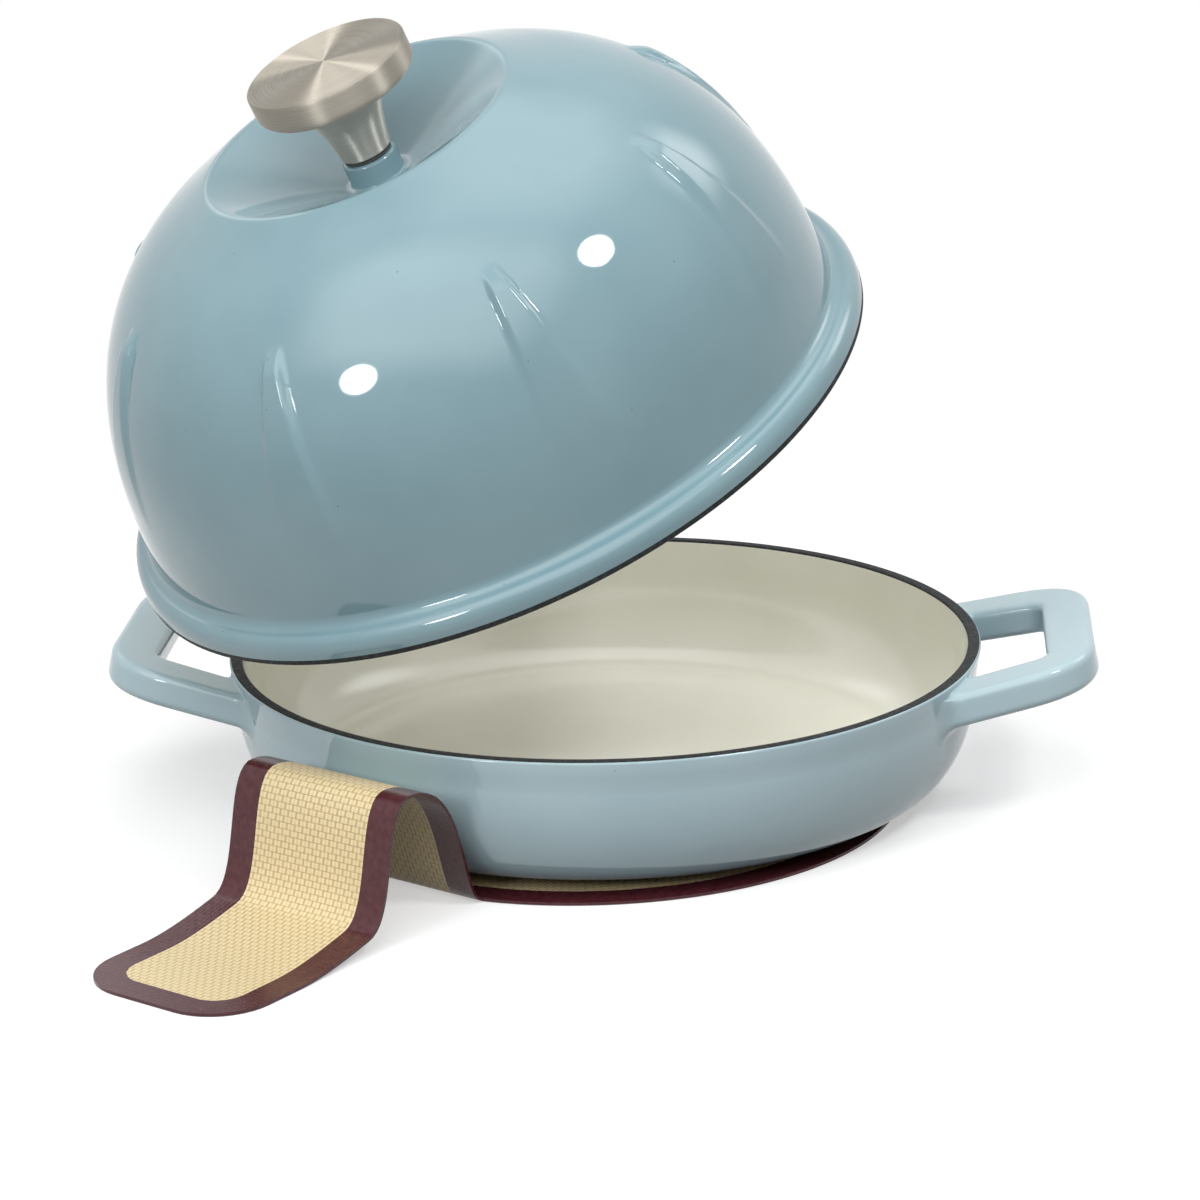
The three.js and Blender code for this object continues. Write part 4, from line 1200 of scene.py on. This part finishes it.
@dataclass
class BreadSling:
    """The woven sling: a disc under the pan with one strap arched out and one folded back over it."""

    thickness: float = 1.0  # Thickness of the cloth.
    disc: float = 105.0  # Radius of the round middle.
    strap_half: float = 32.0  # Half of a strap's width.
    half_length: float = 275.0  # Half of the cloth's flat length.
    corner: float = 20.0  # Rounding of the straps' ends.
    centre: Point = (-5.0, -15.0)  # Where the disc's middle lies.
    azimuth: float = 237.4  # Direction of the strap that arches out.
    fold_reach: float = 106.0  # How far from the middle the other strap folds.
    fold: float = 0.65  # Radius of that fold.
    arch_start: float = 99.0  # Where the arch leaves the table.
    crest: Point = (134.0, 44.9)  # Reach and height of the arch's crest.
    elbow: Point = (155.0, 5.2)  # Reach and height where its fall turns into a ramp.
    landing: float = 188.0  # Where that ramp lies flat on the table again.
    pulls: tuple[float, ...] = (11.0, 29.0, 12.5, 12.0)  # Level pulls at the start, crest, crest and landing.
    elbow_pulls: tuple[Point, Point] = ((13.5, 2.8), (8.0, 1.7))  # Pulls into and out of the elbow.
    edge_layer: str = "edge_distance"  # Mesh attribute with how far a point lies inside the cut edge.
    columns: int = 32  # Rows of faces across the cloth.
    smooth: float = 50.0  # Edges sharper than this stay sharp.

    def _half_width(self, length: float) -> float:
        """Half of the cloth's width at a length from its middle."""
        into = max(0.0, self.corner - (self.half_length - abs(length)))
        loss = self.corner - math.sqrt(max(self.corner ** 2 - into ** 2, 0.0))
        round_half = math.sqrt(max(0.0, self.disc ** 2 - length ** 2))
        return max(self.strap_half - loss, round_half)

    def _edge_distance(self, length: float, across: float) -> float:
        """How far a point of the flat cloth lies inside its cut edge."""
        past_end = abs(length) - (self.half_length - self.corner)
        past_side = abs(across) - (self.strap_half - self.corner)
        beyond = math.hypot(max(past_end, 0.0), max(past_side, 0.0)) + min(max(past_end, past_side), 0.0)
        return max(self.disc - math.hypot(length, across), self.corner - beyond)

    def _path(self) -> list[Point]:
        """The cloth's line from the folded strap's end to the free strap's end, as reach and height."""
        middle = self.thickness / 2
        (crest, top), (elbow, ramp) = self.crest, self.elbow
        start, landing = self.arch_start, self.landing
        upper = self.half_length - 2 * self.fold_reach - math.pi * self.fold
        path = [(upper, middle + 2 * self.fold)]
        path += arc((-self.fold_reach, middle + self.fold), (self.fold, self.fold), 90, 270, 12)
        rise, slow, fall, lie = self.pulls
        steep, gentle = self.elbow_pulls
        path += bezier(((start, middle), (start + rise, middle), (crest - slow, top), self.crest), 60)
        into = (elbow - steep[0], ramp + steep[1])
        path += bezier((self.crest, (crest + fall, top), into, self.elbow), 40)[1:]
        down, flat = (elbow + gentle[0], ramp - gentle[1]), (landing - lie, middle)
        path += bezier((self.elbow, down, flat, (landing, middle)), 30)[1:]
        used = sum(math.dist(a, b) for a, b in zip(path, path[1:]))
        path.append((landing + 2 * self.half_length - used, middle))
        return path

    def _rows(self) -> list[float]:
        """Lengths of the rows of faces along the cloth, closer together at the rounded ends."""
        count, end_count = 240, 10
        bends = [math.pi / 2 * i / end_count for i in range(end_count + 1)]
        ends = [self.half_length - self.corner * (1 - math.sin(bend)) for bend in bends]
        inner = self.half_length - self.corner
        middle = [-inner + 2 * inner * i / count for i in range(1, count)]
        return [-x for x in reversed(ends)] + middle + ends

    def build(self, cloth: Material, carried: str) -> None:
        """Lays the cloth along its path and gives it its thickness.

        Args:
            cloth: The coated glass cloth.
            carried: The piece that stands on the cloth; not used.
        """
        rows = self._rows()
        path = self._path()
        reached = [0.0]
        for a, b in zip(path, path[1:]):
            reached.append(reached[-1] + math.dist(a, b))
        bpy.ops.object.select_all(action="DESELECT")
        bpy.ops.mesh.primitive_grid_add(
            x_subdivisions=len(rows) - 1, y_subdivisions=self.columns, size=1.0, calc_uvs=True
        )
        piece = bpy.context.object
        piece.name = piece.data.name = "bread_sling_cloth"
        lie = math.radians(self.azimuth)
        flat = []
        inside = piece.data.attributes.new(self.edge_layer, "FLOAT", "POINT")
        for vertex in piece.data.vertices:
            row = round((vertex.co.x + 0.5) * (len(rows) - 1))
            length = rows[row]
            across = 2 * vertex.co.y * self._half_width(length)
            flat.append((length * MM, across * MM))
            inside.data[vertex.index].value = self._edge_distance(length, across) * MM
            run = min(max(length + self.half_length, 0.0), reached[-1])
            k = next(i for i in range(1, len(reached)) if reached[i] >= run - SUM_ERROR)
            share = (run - reached[k - 1]) / (reached[k] - reached[k - 1])
            reach = path[k - 1][0] + share * (path[k][0] - path[k - 1][0])
            height = path[k - 1][1] + share * (path[k][1] - path[k - 1][1])
            vertex.co.x = (self.centre[0] + reach * math.cos(lie) - across * math.sin(lie)) * MM
            vertex.co.y = (self.centre[1] + reach * math.sin(lie) + across * math.cos(lie)) * MM
            vertex.co.z = height * MM
        layer = piece.data.uv_layers.active
        for corner in piece.data.loops:
            layer.data[corner.index].uv = flat[corner.vertex_index]
        dress(piece, (cloth,))
        apply_modifier(piece, "SOLIDIFY", thickness=self.thickness * MM, offset=0.0)
        soften(piece, self.smooth)
        place_piece(piece, Body.SLING, Slot.WOVEN, "bread_sling")


@dataclass(frozen=True)
class Lamp:
    """One soft lamp."""

    name: str  # The lamp's name.
    shape: str  # Blender's name for its outline.
    size: Point  # Its width and height.
    place: Place  # Where it hangs.
    glow: float  # How bright its face looks, where 1 is white.
    feather: float = 0.0  # How much of its half width fades out towards its edge.

    def hang(self, aim: Place) -> None:
        """Hangs the lamp so that it faces a point, out of the camera's sight."""
        bpy.ops.object.light_add(type="AREA", location=[x * MM for x in self.place])
        lamp = bpy.context.object
        lamp.name = self.name
        lamp.visible_camera = False
        light = lamp.data
        light.shape = self.shape
        light.size, light.size_y = self.size[0] * MM, self.size[1] * MM
        area = light.size * light.size_y * (math.pi / 4 if self.shape in ("DISK", "ELLIPSE") else 1.0)
        light.energy = self.glow * math.pi * area
        lamp.rotation_euler = (Vector(aim) - Vector(self.place)).to_track_quat("-Z", "Y").to_euler()
        if self.feather:
            self._fade(light)

    def _fade(self, light: bpy.types.Light) -> None:
        """Fades the lamp's face towards its edges, as the cloth of a softbox does."""
        add = empty_tree(light)
        face = add("NewGeometry").outputs["Parametric"]
        off = add("VectorMath", {"operation": "SUBTRACT", 1: (0.5, 0.5, 0.0)}, {0: face})
        off = add("VectorMath", {"operation": "ABSOLUTE"}, {0: off})
        fade = {
            "interpolation_type": "SMOOTHSTEP",
            "From Min": 0.5 * (1 - self.feather),
            "From Max": 0.5,
            "To Min": 1.0,
            "To Max": 0.0,
        }
        axes = add("SeparateXYZ", links={0: off}).outputs
        wide, high = (add("MapRange", fade, {"Value": axis}) for axis in axes[:2])
        both = add("Math", {"operation": "MULTIPLY"}, {0: wide, 1: high})
        add("OutputLight", links={"Surface": add("Emission", links={"Strength": both})})


@dataclass
class Studio:
    """The pale floor, the soft lamps, the white surroundings and the camera."""

    floor_radius: float = 3000.0  # Radius of the floor.
    floor_steps: int = 96  # Corners of its outline.
    floor_drop: float = 0.2  # How far the floor lies under the part.
    floor_colour: str = "#d0d0d0"  # The floor's colour as the camera sees it.
    floor_dim: str = "#7a7a7a"  # The floor's colour as it throws light back on the part.
    floor_lift: float = 0.45  # How much white the camera sees in the floor over its own colour.
    shadow_reach: Point = (260.0, 520.0)  # Where the floor fades to plain white, from and to.
    sky: float = 0.32  # Strength of the surroundings' light on the part.
    aim: Place = (-20.0, -30.0, 120.0)  # The point that the lamps face.
    lamps: tuple[Lamp, ...] = (  # The soft lamps.
        Lamp("softbox_front", "RECTANGLE", (3000.0, 2000.0), (-351.0, -1048.0, 1309.0), 2.4, 0.6),
        Lamp("softbox_top", "RECTANGLE", (2600.0, 2600.0), (100.0, 250.0, 2100.0), 1.5, 0.8),
        Lamp("softbox_back_left", "RECTANGLE", (800.0, 800.0), (-915.0, 1037.0, 1095.0), 1.2, 0.8),
        Lamp("softbox_back_right", "RECTANGLE", (1000.0, 1000.0), (1076.0, 738.0, 1324.0), 3.5, 0.8),
        Lamp("lamp_left", "DISK", (300.0, 300.0), (-802.0, -1246.0, 614.0), 20.0),
        Lamp("lamp_right", "DISK", (300.0, 300.0), (760.0, -580.0, 1298.0), 26.0),
    )
    camera: Place = (102.1, -1305.6, 461.7)  # The camera's place.
    right: Place = (0.99714, 0.07192, -0.02325)  # The picture's right, in the part's frame.
    back: Place = (0.07557, -0.95386, 0.29059)  # The direction from the part to the camera.
    lens: float = 121.44  # Focal length.
    sensor: float = 36.0  # Width of the sensor.
    sight: float = 50000.0  # How far the camera sees.

    @staticmethod
    def _seen(add: NodeAdder) -> bpy.types.Node:
        """A node that gives 1 for rays by which something is seen, and 0 for rays that only light it."""
        rays = add("LightPath").outputs
        seen = add("Math", {"operation": "MAXIMUM"}, {0: rays["Is Camera Ray"], 1: rays["Is Glossy Ray"]})
        return add("Math", {"operation": "MAXIMUM"}, {0: seen, 1: rays["Is Transmission Ray"]})

    def _floor(self) -> None:
        """Lays a round floor that is white to the camera and keeps the part's shadow."""
        bpy.ops.object.select_all(action="DESELECT")
        bpy.ops.mesh.primitive_circle_add(
            vertices=self.floor_steps,
            radius=self.floor_radius * MM,
            fill_type="NGON",
            location=(0.0, 0.0, -self.floor_drop * MM),
        )
        floor = bpy.context.object
        floor.name = "studio_floor"
        settle(floor)
        material = bpy.data.materials.new("white painted board")
        add = empty_tree(material)
        place = add("TexCoord").outputs["Object"]
        reach = add("VectorMath", {"operation": "LENGTH"}, {0: place})
        low, high = (x * MM for x in self.shadow_reach)
        fade = {"interpolation_type": "SMOOTHSTEP", "From Min": low, "From Max": high}
        far = add("MapRange", fade, {"Value": reach})
        board = add("BsdfDiffuse", {"Color": linear(self.floor_colour)})
        dim = add("BsdfDiffuse", {"Color": linear(self.floor_dim)})
        lift = add("Emission", {"Strength": self.floor_lift})
        white = add("Emission", {"Strength": 1.0})
        near = add("AddShader", links={0: board, 1: lift})
        shown = add("MixShader", links={0: far, 1: near, 2: white})
        shader = add("MixShader", links={0: self._seen(add), 1: dim, 2: shown})
        add("OutputMaterial", links={"Surface": shader})
        floor.data.materials.append(material)

    def _surroundings(self) -> None:
        """Makes the surroundings white to look at and dim as a light."""
        world = bpy.data.worlds.new("white studio")
        bpy.context.scene.world = world
        add = empty_tree(world)
        strength = add("MapRange", {"To Min": self.sky, "To Max": 1.0}, {"Value": self._seen(add)})
        light = add("Background", {"Color": linear("#ffffff")}, {"Strength": strength})
        add("OutputWorld", links={"Surface": light})

    def build(self) -> None:
        """Sets up the floor, the surroundings, the lamps and the camera."""
        self._floor()
        self._surroundings()
        for lamp in self.lamps:
            lamp.hang(self.aim)
        bpy.ops.object.camera_add(location=[x * MM for x in self.camera])
        camera = bpy.context.object
        camera.name = "photo_camera"
        right, back = Vector(self.right), Vector(self.back)
        up = back.cross(right)
        camera.rotation_euler = Matrix((right, up, back)).transposed().to_euler()
        camera.data.lens = self.lens
        camera.data.sensor_width = self.sensor
        camera.data.clip_end = self.sight * MM
        bpy.context.scene.camera = camera
        bpy.context.scene.view_settings.view_transform = "Standard"


def main() -> None:
    """Builds every piece in order and reports it."""
    logging.basicConfig(level=logging.INFO, format="%(name)s %(message)s")
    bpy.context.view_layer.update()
    # The pan and its handles take the lid's blue enamel in a lighter copy, as painted light on the pan.
    lid_glaze = EnamelFinish("blue vitreous enamel", "#7b98a0", "#73919a", "#4d5f63").make()
    pan_glaze_painted_lighter = EnamelFinish("blue vitreous enamel painted lighter", "#a9c1c8", "#a2bbc3", "#6a7f83").make()
    lining = EnamelFinish("cream vitreous enamel", "#f6f5e8", "#f0efe1", "#d2cfbd", roughness=0.1).make()
    edge = BlackEnamelFinish().make()
    # The cap and the stem are one steel; the cap's copy is painted darker, as painted shade.
    steel = TurnedMetalFinish("brushed stainless steel painted darker", "#aca69b", "#9f998e", 0.5, 1.0).make()
    satin = TurnedMetalFinish("satin stainless steel", "#c4c2ba", "#bbb9b1", 0.5, 1.0).make()
    brass = TurnedMetalFinish("turned brass", "#c29a52", "#a37d3a", 0.3, 0.5).make()
    fibre = FibreFinish().make()
    tip = Tip()
    sling = BreadSling()
    cloth = WovenSiliconeFinish(edge_layer=sling.edge_layer).make()
    Studio().build()
    Pan().build(pan_glaze_painted_lighter, lining, edge)
    DomeLid().build(tip, lid_glaze, lining, edge)
    Knob().build(tip, steel, satin, brass, fibre)
    sling.build(cloth, "pan_casting")


if __name__ == "__main__":
    main()
